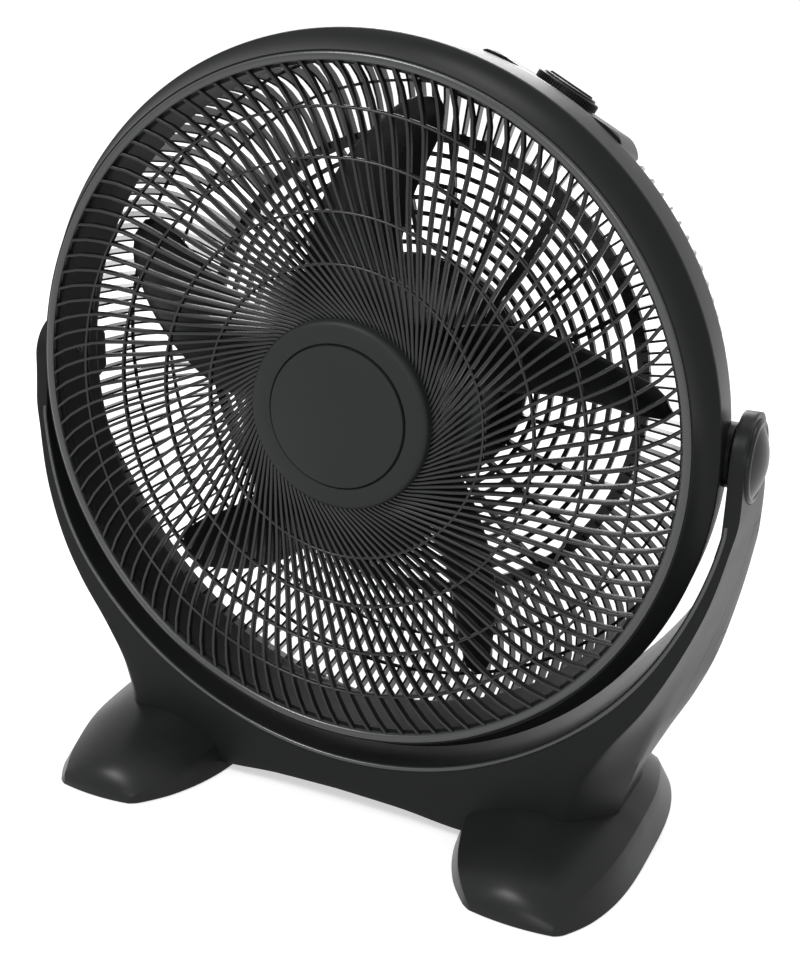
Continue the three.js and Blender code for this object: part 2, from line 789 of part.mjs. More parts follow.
// ---------------------------------------------------------------- yoke
// Stations down the right-hand half of the U, from the tilt axis to the middle of the base: angle up
// from straight down on the inner circle, how far the outer corner at the front and the one at the back
// lie from there, sideways and upwards, and how square the front outer edge is. Near the ground a
// corner's height above it is given instead.
const squareArm = 0.41;
const yokeStations = [
  { up: 90, front: [armThickness, 0], back: [armThickness, 0], square: squareArm },
  { up: 84, front: [9.9, -2], back: [11.6, -2], square: squareArm },
  { up: 78, front: [7.5, -2], back: [12, -2], square: squareArm },
  { up: 71.5, front: [8.9, -1.7], back: [15.4, -1.7], square: squareArm },
  { up: 64, front: [9.8, -4.4], back: [20.3, -8.4], square: squareArm },
  { up: 53.5, front: [12, -10.3], back: [34, -8.3], square: 0.5 },
  { up: 44.5, front: [13.8, -17.7], back: [47.8, -9.7], square: 0.65 },
  { up: 37, front: [21.5, -28.3], back: [55.5, -23.3], square: 0.85 },
  { up: 31, front: [37.2, -39.7], back: [64.2, -41.7], square: 1 },
  { up: 27, front: [51.5], back: [76.5], height: yokeBottom, square: 1 },
  { up: 22, front: [34.3], back: [46.3], height: yokeBottom, square: 1 },
  { up: 15, front: [29.3], back: [29.3], height: yokeBottom, square: 1 },
  { up: 7.5, front: [14.4], back: [14.4], height: archHeight - 1.2, square: 1 },
  { up: 0, front: [0], back: [0], height: archHeight, square: 1 },
];
const shoulderY = -8;
const hollowFrom = 5;           // station where the arm becomes hollow
const cornerStation = 9;        // station at the outer bottom corner
const straightFrom = 80;        // angle up from which the inside of the arm is upright

function halfDepthAt(z) {
  const share = THREE.MathUtils.smoothstep(pivotHeight - z, 0, 150);
  return THREE.MathUtils.lerp(armEndRadius, yokeHalfDepth, share);
}

function innerPoint(up, radius) {
  const x = Math.min(radius * Math.sin(radians(up)), armInner + radius - yokeInnerRadius);
  if (up <= straightFrom) return [x, pivotHeight - radius * Math.cos(radians(up))];
  const drop = yokeInnerRadius * Math.cos(radians(straightFrom));
  return [x, pivotHeight - (drop * (90 - up)) / (90 - straightFrom)];
}

function outerPoint(station, side) {
  const [x, z] = innerPoint(station.up, yokeInnerRadius);
  const [across, rise] = station[side];
  return [x + across, station.height ?? z + rise];
}

// One closed section at a station. A positive inset draws every face in, a negative one out.
function yokeSection(index, inset, hollow) {
  const station = yokeStations[index];
  const corner = { front: outerPoint(station, 'front'), back: outerPoint(station, 'back') };
  const depth = halfDepthAt(corner.front[1]) - inset;
  const [ix, iz] = innerPoint(station.up, yokeInnerRadius + inset);
  const drawn = ([x, z]) => {
    if (index >= cornerStation) {
      const side = index === cornerStation ? inset : 0;
      return [x - side, hollow ? -baseHeight / 2 : z + inset];
    }
    const toward = new THREE.Vector2(ix - x, iz - z).normalize().multiplyScalar(inset);
    return [x + toward.x, z + toward.y];
  };
  const front = drawn(corner.front);
  const back = drawn(corner.back);
  const shoulder = front.map((value, i) => THREE.MathUtils.lerp(value, back[i], station.square));
  return [
    new THREE.Vector3(ix, -depth, iz),
    new THREE.Vector3(front[0], -depth, front[1]),
    new THREE.Vector3(shoulder[0], shoulderY, shoulder[1]),
    new THREE.Vector3(back[0], depth, back[1]),
    new THREE.Vector3(ix, depth, iz),
  ];
}

function yokeLoft(inset, hollow) {
  const right = [];
  for (let i = hollow ? hollowFrom : 0; i < yokeStations.length; i += 1) {
    right.push(yokeSection(i, inset, hollow));
  }
  const left = right.slice(0, -1).reverse()
    .map((section) => section.map((p) => new THREE.Vector3(-p.x, p.y, p.z)));
  return loft([...right, ...left]);
}

const armOuter = armInner + armThickness;

function armEnds(radius, from, to, sides = ringSegments, drop = 0) {
  return bothSides(rod('x', radius, from, to, [0, pivotHeight - drop], sides));
}

const capSeat = armOuter - capInset;
const boltSeat = armInner + 3.6;
const cornerX = outerPoint(yokeStations[cornerStation], 'front')[0];
const footCentre = cornerX - 10;
const footBosses = [{ x: cornerX - 15, y: -yokeHalfDepth + 8 }, { x: cornerX, y: yokeHalfDepth - 8 }];
const footBossRadius = 5.5;
const footBossTop = yokeBottom + 22;
const yokeBoss = { x: 60, z: 0.7 * baseHeight };
const yokeBossRadius = 5;
const [armScrewX, armScrewBelow] = onCircle(yokeInnerRadius + 6.5, 90 - 67.5);
const armScrew = { x: armScrewX, z: pivotHeight - armScrewBelow };
const armScrewDepth = 40;
const screwHeadSeat = 3;

function seamRods({ x, z }, radius, from, to) {
  return bothSides(rod('y', radius, from, to, [x, z]));
}

function footRods(radius, from, to, bosses = footBosses) {
  return bosses.flatMap(({ x, y }) => bothSides(rod('z', radius, from, to, [x, y])));
}

function yokeShells() {
  const hollowed = cut(yokeLoft(0, false), [yokeLoft(yokeWall, true)]);
  const whole = joined([hollowed, ...armEnds(armEndRadius, armInner, armOuter)]);
  const rearShellTop = pivotHeight - rearShellDrop;
  const rearOf = (gap) => block([-farAway, seamY - gap, -farAway], [farAway, farAway, rearShellTop + gap]);
  const wallY = yokeHalfDepth - yokeWall + 0.5;
  const screwBore = screwRadius + clearance;
  const headBore = screwHeadRadius + clearance;
  const shared = [
    ...footRods(screwBore, yokeBottom - 2, footBossTop - 4),
    ...seamRods(yokeBoss, screwBore, -2, yokeHalfDepth + 5),
    ...seamRods(armScrew, screwBore, -2, yokeHalfDepth + 5),
  ];
  const front = cut(joined([
    cut(whole, [rearOf(clearance / 2)]),
    ...footRods(footBossRadius, yokeBottom, footBossTop, [footBosses[0]]),
    ...seamRods(yokeBoss, yokeBossRadius, -wallY, seamY - clearance / 2),
  ]), [
    ...shared,
    ...armEnds(capRadius + clearance, capSeat, armOuter + 5, ringSegments, capDrop),
    ...armEnds(boltHeadRadius + clearance, boltSeat, armOuter + 5, 20),
    ...armEnds(boltRadius + clearance, armInner - 5, armOuter + 5, boltSides),
  ]);
  const rear = cut(joined([
    whole.intersect(rearOf(-clearance / 2)),
    ...footRods(footBossRadius, yokeBottom, footBossTop, [footBosses[1]]),
    ...seamRods(yokeBoss, yokeBossRadius, seamY + clearance / 2, wallY),
  ]), [
    ...shared,
    ...seamRods(yokeBoss, headBore, yokeHalfDepth - screwHeadSeat, yokeHalfDepth + 5),
    ...seamRods(armScrew, headBore, armScrewDepth - screwHeadSeat, yokeHalfDepth + 5),
  ]);
  return { front, rear };
}

const shells = yokeShells();
place(fan, 'yoke_front_shell', shells.front, blackPlastic);
place(fan, 'yoke_rear_shell', shells.rear, blackPlastic);

const sides = [['right', (solid) => solid], ['left', mirrored]];

sides.forEach(([side, turn]) => {
  const yokeScrews = [['base', yokeBoss, yokeHalfDepth], ['arm', armScrew, armScrewDepth]];
  yokeScrews.forEach(([where, { x, z }, face]) => {
    const under = face - screwHeadSeat + clearance;
    const screw = rod('y', screwRadius, -1, under + 0.5, [x, z])
      .add(rod('y', screwHeadRadius, under, under + screwHeadLength, [x, z]));
    place(fan, `yoke_screw_${where}_${side}`, turn(screw), steel);
  });
});

// ---------------------------------------------------------------- tilt pivots
// Outer face of a cap, from its middle to its edge: share of the radius and share of the doming.
const capShape = [[0, 1], [0.35, 0.88], [0.62, 0.6], [0.8, 0.22], [0.88, 0]];

// The cap as [radius, distance from the head's middle], first its underside and then its face.
function capOutline() {
  const face = capShape.map(([share, dome]) => (
    new THREE.Vector2(share * capRadius, armOuter + THREE.MathUtils.lerp(capRim, capDome, dome))));
  const under = face.map((p) => new THREE.Vector2(p.x, p.y - capWall));
  const edge = [[capRadius - capWall, capSeat + clearance], [capRadius, capSeat + clearance],
    [capRadius, armOuter + capRim - 0.8], [capRadius - 0.8, armOuter + capRim]];
  return [...under, ...edge.map(([r, x]) => new THREE.Vector2(r, x)), ...face.reverse()];
}

sides.forEach(([side, turn]) => {
  const boltUnder = boltSeat + clearance;
  const bolt = rod('x', boltRadius, bossInner + 0.5, boltUnder + 0.5, [0, 0], boltSides)
    .add(rod('x', boltHeadRadius, boltUnder, boltUnder + boltHeadLength, [0, 0], 20));
  place(head, `pivot_bolt_${side}`, turn(bolt), zinc);

  const nut = rod('x', nutRadius, bossInner, bossInner + nutLength, [0, 0], 6)
    .subtract(rod('x', boltRadius + clearance, bossInner - 5, bossInner + 15, [0, 0], boltSides));
  place(head, `pivot_nut_${side}`, turn(nut), zinc);

  const washerFrom = bossOuter + clearance;
  const washer = rod('x', washerRadius, washerFrom, washerFrom + washerThickness, [0, 0], ringSegments)
    .subtract(rod('x', boltRadius + clearance, bossOuter - 5, bossOuter + 15, [0, 0], boltSides));
  place(head, `friction_washer_${side}`, turn(washer), rubber);

  const cap = new THREE.LatheGeometry(capOutline(), ringSegments);
  cap.rotateZ(-Math.PI / 2).translate(0, 0, pivotHeight - capDrop);
  place(fan, `pivot_cap_${side}`, turn(solidOf(cap)), blackPlastic);
});

// ---------------------------------------------------------------- feet
function footWidth({ end, bulge, power }, y) {
  return end + bulge * (1 - Math.abs(y / footHalfLength) ** power);
}

// Heights of the foot's top by the distance from its end: the edge and the crown, and how far in from
// the ground outline the edge runs.
const footEdge = [[0, 3.5], [3, 7], [20, 13], [45, 18], [72, 21], [footHalfLength, 23]];
const footRise = [[0, 6], [3, 12.5], [9, 19], [20, 25], [45, 33], [72, footCrown],
  [footHalfLength, footCrown + 2]];
const edgeInset = [[0, 1], [3, 2.5], [20, 7], [45, 10], [footHalfLength, 12]];

function footSection(y, inset, bottom) {
  const fromEnd = footHalfLength - Math.abs(y);
  const outer = footCentre + footWidth(footOuter, y) - inset;
  const inner = footCentre - footWidth(footInner, y) + inset;
  const inFrom = along(edgeInset, fromEnd);
  const edge = along(footEdge, fromEnd) - inset;
  const rise = along(footRise, fromEnd) - inset;
  const middle = (outer + inner) / 2;
  const ridge = (outer - inner) / 2 - inFrom;
  const top = [-1, -0.5, 0, 0.5, 1].map((share) => (
    [middle + share * ridge, THREE.MathUtils.lerp(edge, rise, 1 - share * share)]));
  return [[inner, bottom], ...top, [outer, bottom]].map(([x, z]) => new THREE.Vector3(x, y, z));
}

const footStations = [1, 0.97, 0.88, 0.65, 0.3, -0.3, -0.65, -0.88, -0.97, -1];

function footDome(inset, bottom) {
  return loft(footStations.map((share) => footSection(share * (footHalfLength - inset), inset, bottom)));
}

function foot() {
  const dome = footDome(0, footBottom);
  const hollow = footDome(footWall, footBottom - 4);
  const slab = block([0, -farAway, footFloorBottom], [farAway, farAway, footFloorTop]);
  const screwHoles = footBosses.map(({ x, y }) => (
    rod('z', screwRadius + clearance, footBottom - 2, footFloorTop + 2, [x, y])));
  const aboveFloor = block([0, -farAway, footFloorTop], [farAway, farAway, farAway]);
  return cut(joined([dome.subtract(hollow), dome.intersect(slab)]), [
    yokeLoft(-clearance - 0.1, false).intersect(aboveFloor),
    ...screwHoles,
  ]);
}

const rightFoot = foot();
sides.forEach(([side, turn]) => {
  place(fan, `foot_${side}`, turn(rightFoot), blackPlastic);
  [['front', -padPlace], ['rear', padPlace]].forEach(([end, y]) => {
    const pad = rod('z', padRadius, 0, footFloorBottom - clearance, [footCentre, y], 20);
    place(fan, `pad_${end}_${side}`, turn(pad), rubber);
  });
  footBosses.forEach(({ x, y }) => {
    const under = footFloorBottom - clearance;
    const screw = rod('z', screwRadius, under - 0.5, footBossTop - 6, [x, y])
      .add(rod('z', screwHeadRadius, under - screwHeadLength, under, [x, y]));
    place(fan, `foot_screw_${y < 0 ? 'front' : 'rear'}_${side}`, turn(screw), steel);
  });
});

export default fan;
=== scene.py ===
import json
import math

import bmesh
import bpy
from mathutils import Matrix, Vector


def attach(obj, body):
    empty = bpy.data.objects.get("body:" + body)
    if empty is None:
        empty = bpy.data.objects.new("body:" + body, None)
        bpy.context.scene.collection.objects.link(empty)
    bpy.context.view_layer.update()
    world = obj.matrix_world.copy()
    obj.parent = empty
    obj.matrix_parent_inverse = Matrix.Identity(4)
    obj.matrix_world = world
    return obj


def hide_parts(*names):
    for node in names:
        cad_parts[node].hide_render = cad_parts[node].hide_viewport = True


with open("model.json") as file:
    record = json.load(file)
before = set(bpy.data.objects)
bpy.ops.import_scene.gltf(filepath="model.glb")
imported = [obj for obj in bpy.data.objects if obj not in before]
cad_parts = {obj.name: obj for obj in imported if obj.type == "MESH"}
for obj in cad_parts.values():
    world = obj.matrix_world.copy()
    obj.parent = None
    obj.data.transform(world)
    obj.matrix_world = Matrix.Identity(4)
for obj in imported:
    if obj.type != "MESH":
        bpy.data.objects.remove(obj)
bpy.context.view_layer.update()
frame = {"nodes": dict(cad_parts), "record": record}
bpy.context.scene.view_settings.view_transform = "Standard"

# Everything below is modelled in millimetres and scaled when a piece is finished.
metre = 0.001
fullTurn = 2 * math.pi
pivotHeight = 290

# Head pieces are modelled lying down: x to the right, y up the head, z towards the front.
headPlace = Matrix.Translation((0, 0, pivotHeight)) @ Matrix.Rotation(math.pi / 2, 4, "X")
noPlace = Matrix.Identity(4)

# flat faces round the head's rim, round its rings, round smaller turned pieces and round small ones
rimSteps, ringSteps, pieceSteps, smallSteps = 240, 160, 120, 72


def smoothAlong(stops, x):
    # a smooth curve through the (x, value) stops, without overshoot
    if x <= stops[0][0]:
        return stops[0][1]
    if x >= stops[-1][0]:
        return stops[-1][1]
    slopes = [(b[1] - a[1]) / (b[0] - a[0]) for a, b in zip(stops, stops[1:])]
    for i, slope in enumerate(slopes):
        (x0, v0), (x1, v1) = stops[i], stops[i + 1]
        if x > x1:
            continue
        before = slopes[i - 1] if i else slope
        after = slopes[i + 1] if i + 1 < len(slopes) else slope
        m0 = 0 if before * slope <= 0 else 2 * before * slope / (before + slope)
        m1 = 0 if after * slope <= 0 else 2 * after * slope / (after + slope)
        if i == 0:
            m0 = slope
        if i + 1 == len(slopes):
            m1 = slope
        step = x1 - x0
        t = (x - x0) / step
        return ((2 * t ** 3 - 3 * t ** 2 + 1) * v0 + (t ** 3 - 2 * t ** 2 + t) * step * m0
                + (3 * t ** 2 - 2 * t ** 3) * v1 + (t ** 3 - t ** 2) * step * m1)


def polar(radius, degrees, front=0.0):
    turn = math.radians(degrees)
    return Vector((radius * math.cos(turn), radius * math.sin(turn), front))


def lathe(bm, profile, steps=192, closed=True):
    # turns (radius, height) points round the local z axis
    points = [bm.verts.new((radius, 0, height)) for radius, height in profile]
    pairs = list(zip(points, points[1:]))
    if closed:
        pairs.append((points[-1], points[0]))
    edges = [bm.edges.new(pair) for pair in pairs]
    bmesh.ops.spin(bm, geom=points + edges, cent=(0, 0, 0), axis=(0, 0, 1), dvec=(0, 0, 0),
                   angle=fullTurn, steps=steps, use_merge=True, use_duplicate=False)
    bmesh.ops.remove_doubles(bm, verts=bm.verts[:], dist=0.001)


def skin(bm, across, lengthwise, place):
    # a grid bent so that its corner (u, v), each from 0 to 1, lands at place(u, v)
    made = bmesh.ops.create_grid(bm, x_segments=across, y_segments=lengthwise, size=0.5)
    for vert in made["verts"]:
        vert.co = place(vert.co.x + 0.5, vert.co.y + 0.5)


def bar(bm, cuts, place, chamfer=0.0):
    # a straight square bar, cut into lengths and bent so that (s, w, d) lands at place(s, w, d):
    # s runs along it from 0 to 1, w across it from -1 to 1 and d through it from 0 to 1
    made = bmesh.ops.create_cube(bm, size=1)
    verts = made["verts"]
    long = [e for e in bm.edges if e.verts[0] in verts and abs(e.verts[0].co.x - e.verts[1].co.x) > 0.5]
    bmesh.ops.subdivide_edges(bm, edges=long, cuts=cuts, use_grid_fill=True)
    if chamfer:
        front = [e for e in bm.edges if all(v.co.z > 0.49 and abs(v.co.y) > 0.49 for v in e.verts)
                 and abs(e.verts[0].co.y - e.verts[1].co.y) < 0.01]
        bmesh.ops.bevel(bm, geom=front, offset=chamfer, offset_type="OFFSET", affect="EDGES",
                        segments=2, profile=0.5, material=-1)
    for vert in bm.verts:
        vert.co = place(vert.co.x + 0.5, vert.co.y * 2, vert.co.z + 0.5)


def repeatRound(bm, count):
    # the whole mesh, count times round the local z axis
    if count > 1:
        bmesh.ops.spin(bm, geom=bm.verts[:] + bm.edges[:] + bm.faces[:], cent=(0, 0, 0), axis=(0, 0, 1),
                       dvec=(0, 0, 0), angle=fullTurn * (count - 1) / count, steps=count - 1,
                       use_merge=False, use_duplicate=True)


def roundEdges(bm, width, segments=3, angle=25, choose=None):
    limit = math.radians(angle)
    sharp = [e for e in bm.edges if len(e.link_faces) == 2 and e.calc_face_angle(0) > limit]
    if choose:
        sharp = [e for e in sharp if choose((e.verts[0].co + e.verts[1].co) / 2)]
    bmesh.ops.bevel(bm, geom=sharp, offset=width, offset_type="OFFSET", affect="EDGES",
                    segments=segments, profile=0.5, material=-1, clamp_overlap=True)


def closeHoles(bm):
    bmesh.ops.holes_fill(bm, edges=[e for e in bm.edges if len(e.link_faces) == 1], sides=0)


def absorb(bm, other):
    # adds another mesh to this one
    spare = bpy.data.meshes.new("spare")
    other.to_mesh(spare)
    other.free()
    bm.from_mesh(spare)
    bpy.data.meshes.remove(spare)


def markSharp(mesh, sharpAngle):
    bm = bmesh.new()
    bm.from_mesh(mesh)
    limit = math.radians(sharpAngle)
    for face in bm.faces:
        face.smooth = True
    for edge in bm.edges:
        edge.smooth = len(edge.link_faces) != 2 or edge.calc_face_angle(0) < limit
    bm.to_mesh(mesh)
    bm.free()


def solidObject(name, bm, place=noPlace, merge=0.002):
    bmesh.ops.remove_doubles(bm, verts=bm.verts[:], dist=merge)
    bmesh.ops.recalc_face_normals(bm, faces=bm.faces[:])
    bmesh.ops.transform(bm, matrix=Matrix.Scale(metre, 4) @ place, verts=bm.verts[:])
    mesh = bpy.data.meshes.new(name)
    bm.to_mesh(mesh)
    bm.free()
    piece = bpy.data.objects.new(name, mesh)
    bpy.context.collection.objects.link(piece)
    return piece


def carve(piece, tools):
    # booleans, each tool being (operation, object), applied at once
    for operation, tool in tools:
        step = piece.modifiers.new(operation, "BOOLEAN")
        step.operation = operation
        step.solver = "EXACT"
        step.object = tool
    bpy.context.view_layer.update()
    shaped = piece.evaluated_get(bpy.context.evaluated_depsgraph_get())
    mesh = bpy.data.meshes.new_from_object(shaped)
    piece.modifiers.clear()
    piece.data = mesh


def discard(*tools):
    for tool in tools:
        bpy.data.objects.remove(tool)


def finish(piece, material, body, replaced=(), sharpAngle=32):
    piece.data.materials.clear()
    piece.data.materials.append(material)
    markSharp(piece.data, sharpAngle)
    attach(piece, body)
    if replaced:
        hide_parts(*replaced)
    print("made", piece.name, len(piece.data.polygons), "faces")


def nodeGroup(name, inputs, outputs):
    group = bpy.data.node_groups.new(name, "ShaderNodeTree")
    for title, kind, value in inputs:
        socket = group.interface.new_socket(name=title, in_out="INPUT", socket_type=kind)
        socket.default_value = value
    for title, kind in outputs:
        group.interface.new_socket(name=title, in_out="OUTPUT", socket_type=kind)
    return group, group.nodes.new("NodeGroupInput"), group.nodes.new("NodeGroupOutput")


def makeGrainGroup():
    # fine spark-eroded grain of moulded plastic, with slow changes of gloss and tone
    group, source, sink = nodeGroup(
        "mouldedGrain",
        [("Scale", "NodeSocketFloat", 1.0), ("Tone", "NodeSocketColor", (0.02, 0.02, 0.02, 1)),
         ("Gloss", "NodeSocketFloat", 0.45), ("Spread", "NodeSocketFloat", 0.06)],
        [("Color", "NodeSocketColor"), ("Roughness", "NodeSocketFloat"), ("Height", "NodeSocketFloat")])
    nodes, links = group.nodes, group.links
    coord = nodes.new("ShaderNodeTexCoord")
    size = nodes.new("ShaderNodeVectorMath")
    size.operation = "SCALE"
    links.new(coord.outputs["Object"], size.inputs[0])
    links.new(source.outputs["Scale"], size.inputs["Scale"])
    grain = nodes.new("ShaderNodeTexNoise")
    grain.inputs["Scale"].default_value = 1500
    grain.inputs["Detail"].default_value = 3
    links.new(size.outputs[0], grain.inputs["Vector"])
    links.new(grain.outputs["Fac"], sink.inputs["Height"])
    cloud = nodes.new("ShaderNodeTexNoise")
    cloud.inputs["Scale"].default_value = 14
    cloud.inputs["Detail"].default_value = 4
    links.new(coord.outputs["Object"], cloud.inputs["Vector"])
    swing = nodes.new("ShaderNodeMath")
    swing.operation = "MULTIPLY_ADD"
    links.new(cloud.outputs["Fac"], swing.inputs[0])
    links.new(source.outputs["Spread"], swing.inputs[1])
    links.new(source.outputs["Gloss"], swing.inputs[2])
    links.new(swing.outputs[0], sink.inputs["Roughness"])
    tint = nodes.new("ShaderNodeMapRange")
    tint.inputs["To Min"].default_value = 0.8
    tint.inputs["To Max"].default_value = 1.2
    links.new(cloud.outputs["Fac"], tint.inputs["Value"])
    shade = nodes.new("ShaderNodeVectorMath")
    shade.operation = "SCALE"
    links.new(source.outputs["Tone"], shade.inputs[0])
    links.new(tint.outputs["Result"], shade.inputs["Scale"])
    links.new(shade.outputs[0], sink.inputs["Color"])
    return group


grainGroup = makeGrainGroup()


def surface(name, look):
    # look: tone, gloss, spread, grain (scale of the pattern), bump, and plain Principled values
    material = bpy.data.materials.new(name)
    material.use_nodes = True
    nodes, links = material.node_tree.nodes, material.node_tree.links
    shader = nodes["Principled BSDF"]
    grain = nodes.new("ShaderNodeGroup")
    grain.node_tree = grainGroup
    grain.inputs["Scale"].default_value = look.get("grain", 1.0)
    grain.inputs["Tone"].default_value = (*look["tone"], 1)
    grain.inputs["Gloss"].default_value = look["gloss"]
    grain.inputs["Spread"].default_value = look.get("spread", 0.06)
    links.new(grain.outputs["Color"], shader.inputs["Base Color"])
    links.new(grain.outputs["Roughness"], shader.inputs["Roughness"])
    bump = nodes.new("ShaderNodeBump")
    bump.inputs["Strength"].default_value = look.get("bump", 0.15)
    bump.inputs["Distance"].default_value = 0.0002
    links.new(grain.outputs["Height"], bump.inputs["Height"])
    links.new(bump.outputs["Normal"], shader.inputs["Normal"])
    shader.inputs["Metallic"].default_value = look.get("metallic", 0.0)
    shader.inputs["Specular IOR Level"].default_value = look.get("specular", 0.5)
    return material


looks = {
    "satinBlack": {"tone": (0.009, 0.0095, 0.0095), "gloss": 0.32, "spread": 0.1,
                   "bump": 0.2, "specular": 0.1},
    "smoothBlack": {"tone": (0.01, 0.0105, 0.0105), "gloss": 0.28, "spread": 0.08,
                    "bump": 0.1, "specular": 0.2},
    "grilleBlack": {"tone": (0.009, 0.0095, 0.0095), "gloss": 0.2, "spread": 0.08,
                    "bump": 0.06, "specular": 0.34},
    # a lighter, glossier copy of the black plastic: painted highlight for the grille lip and the saddle bead
    "sheenPaintedBlack": {"tone": (0.02, 0.021, 0.021), "gloss": 0.16, "spread": 0.22, "bump": 0.3, "specular": 0.7},
    "bladeBlack": {"tone": (0.0085, 0.009, 0.0095), "gloss": 0.24, "spread": 0.1,
                   "bump": 0.08, "specular": 0.26},
    "hubBlack": {"tone": (0.015, 0.016, 0.016), "gloss": 0.34, "spread": 0.18, "bump": 0.3, "specular": 0.16},
    "mattRubber": {"tone": (0.012, 0.012, 0.012), "gloss": 0.7, "spread": 0.1, "grain": 0.6, "bump": 0.4},
    "plainSteel": {"tone": (0.42, 0.43, 0.44), "gloss": 0.28, "spread": 0.14, "metallic": 1.0, "bump": 0.1},
    "darkScrew": {"tone": (0.08, 0.082, 0.085), "gloss": 0.3, "spread": 0.14, "metallic": 1.0, "bump": 0.1},
    "motorSteel": {"tone": (0.05, 0.053, 0.056), "gloss": 0.5, "spread": 0.15, "metallic": 0.6, "bump": 0.3},
    "copperWire": {"tone": (0.48, 0.17, 0.07), "gloss": 0.3, "spread": 0.15, "metallic": 1.0, "bump": 0.2},
    "zincPlate": {"tone": (0.55, 0.55, 0.53), "gloss": 0.3, "spread": 0.15, "metallic": 1.0, "bump": 0.1},
    "paleShell": {"tone": (0.62, 0.6, 0.53), "gloss": 0.35, "spread": 0.1, "bump": 0.05},
}
finishes = {name: surface(name, look) for name, look in looks.items()}
slotFinish = {
    "black_plastic": "satinBlack", "grille_plastic": "grilleBlack", "rubber": "mattRubber",
    "steel": "plainSteel", "motor_steel": "motorSteel", "copper_wire": "copperWire",
    "zinc_plate": "zincPlate", "capacitor_shell": "paleShell", "switch_plastic": "smoothBlack",
}
slotOf = {row["node"]: row["material_slot"] for row in frame["record"]["subparts"]}
for nodeName, node in frame["nodes"].items():
    node.data.materials.clear()
    node.data.materials.append(finishes[slotFinish[slotOf[nodeName]]])
print("materials ready")


camera = {
    "place": (0.4213, -0.8805, 0.6015),
    "ahead": (-0.442, 0.833, -0.332),
    "lens": 57.07,
    "shift": (0.0950, -0.0410),
}


def makeCamera():
    data = bpy.data.cameras.new("camera")
    data.lens = camera["lens"]
    data.sensor_width = 36
    data.shift_x, data.shift_y = camera["shift"]
    data.clip_start = 0.01
    eye = bpy.data.objects.new("camera", data)
    bpy.context.collection.objects.link(eye)
    eye.location = camera["place"]
    eye.rotation_euler = Vector(camera["ahead"]).to_track_quat("-Z", "Y").to_euler()
    bpy.context.scene.camera = eye


studio = {
    "floorTone": 0.6, "floorSize": 40, "floorLift": 0.52,
    "worldLight": 0.8, "lampAim": (0, 0, 0.28),
    "lamps": {
        "key": {"place": (-0.85, -1.75, 2.6), "size": 1.1, "power": 50},
        "front": {"place": (0.5, -3.0, 1.1), "size": 0.9, "power": 14},
        "top": {"place": (0.3, 0.7, 2.7), "size": 1.2, "power": 16},
        "back": {"place": (-0.95, 2.7, 1.35), "size": 1.6, "power": 36},
    },
}


def seenRay(nodes, links):
    # 1 for what the eye sees, straight or in a gloss or through glass
    path = nodes.new("ShaderNodeLightPath")
    last = path.outputs["Is Camera Ray"]
    for kind in ("Is Glossy Ray", "Is Transmission Ray"):
        either = nodes.new("ShaderNodeMath")
        either.operation = "MAXIMUM"
        links.new(last, either.inputs[0])
        links.new(path.outputs[kind], either.inputs[1])
        last = either.outputs[0]
    return last


def makeFloor():
    bm = bmesh.new()
    bmesh.ops.create_grid(bm, x_segments=1, y_segments=1, size=studio["floorSize"] / 2)
    mesh = bpy.data.meshes.new("floor")
    bm.to_mesh(mesh)
    bm.free()
    floor = bpy.data.objects.new("floor", mesh)
    bpy.context.collection.objects.link(floor)
    material = bpy.data.materials.new("paleFloor")
    material.use_nodes = True
    shader = material.node_tree.nodes["Principled BSDF"]
    shader.inputs["Base Color"].default_value = (*[studio["floorTone"]] * 3, 1)
    shader.inputs["Roughness"].default_value = 0.9
    shader.inputs["Specular IOR Level"].default_value = 0.1
    shader.inputs["Emission Color"].default_value = (1, 1, 1, 1)
    nodes, links = material.node_tree.nodes, material.node_tree.links
    lift = nodes.new("ShaderNodeMath")
    lift.operation = "MULTIPLY"
    lift.inputs[1].default_value = studio["floorLift"]
    links.new(seenRay(nodes, links), lift.inputs[0])
    links.new(lift.outputs[0], shader.inputs["Emission Strength"])
    mesh.materials.append(material)


def makeWorld():
    # white to the camera and in reflections, softer as a light
    world = bpy.data.worlds.new("studio")
    bpy.context.scene.world = world
    world.use_nodes = True
    nodes, links = world.node_tree.nodes, world.node_tree.links
    light = nodes["Background"]
    light.inputs["Color"].default_value = (1, 1, 1, 1)
    light.inputs["Strength"].default_value = studio["worldLight"]
    shown = nodes.new("ShaderNodeBackground")
    shown.inputs["Color"].default_value = (1, 1, 1, 1)
    shown.inputs["Strength"].default_value = 1
    mix = nodes.new("ShaderNodeMixShader")
    links.new(seenRay(nodes, links), mix.inputs["Fac"])
    links.new(light.outputs[0], mix.inputs[1])
    links.new(shown.outputs[0], mix.inputs[2])
    links.new(mix.outputs[0], nodes["World Output"].inputs["Surface"])


def makeLamp(name, look):
    data = bpy.data.lights.new(name, "AREA")
    data.shape = "DISK"
    data.size = look["size"]
    data.energy = look["power"]
    lamp = bpy.data.objects.new(name, data)
    bpy.context.collection.objects.link(lamp)
    lamp.location = look["place"]
    toward = Vector(studio["lampAim"]) - Vector(look["place"])
    lamp.rotation_euler = toward.to_track_quat("-Z", "Y").to_euler()


makeCamera()
makeFloor()
makeWorld()
for lampName, lampLook in studio["lamps"].items():
    makeLamp(lampName, lampLook)
print("studio ready")


# front bezel and the air duct behind it: radii, and distances in front of the tilt axis
bezel = {
    "duct": 222, "lip": 229.8, "rim": 242.2, "drum": 240.3, "front": 49.2, "seat": 45.2, "wall": 2.6,
    "gap": 0.3, "crease": 27.5, "inside": [(236.5, 31), (232.5, 36)],
    "screwTurn": 177.6, "screwFront": 20.8,
}
# the hollow flare from the lip out to the rim: radius, distance in front of the tilt axis
bezelFlare = [(230.6, 49.2), (231.5, 45.8), (232.9, 42), (234.7, 38.4), (236.9, 35.2), (239.2, 32.6),
              (240.8, 31.3), (241.7, 30.6), (242.1, 29.6), (242.15, 28.2)]


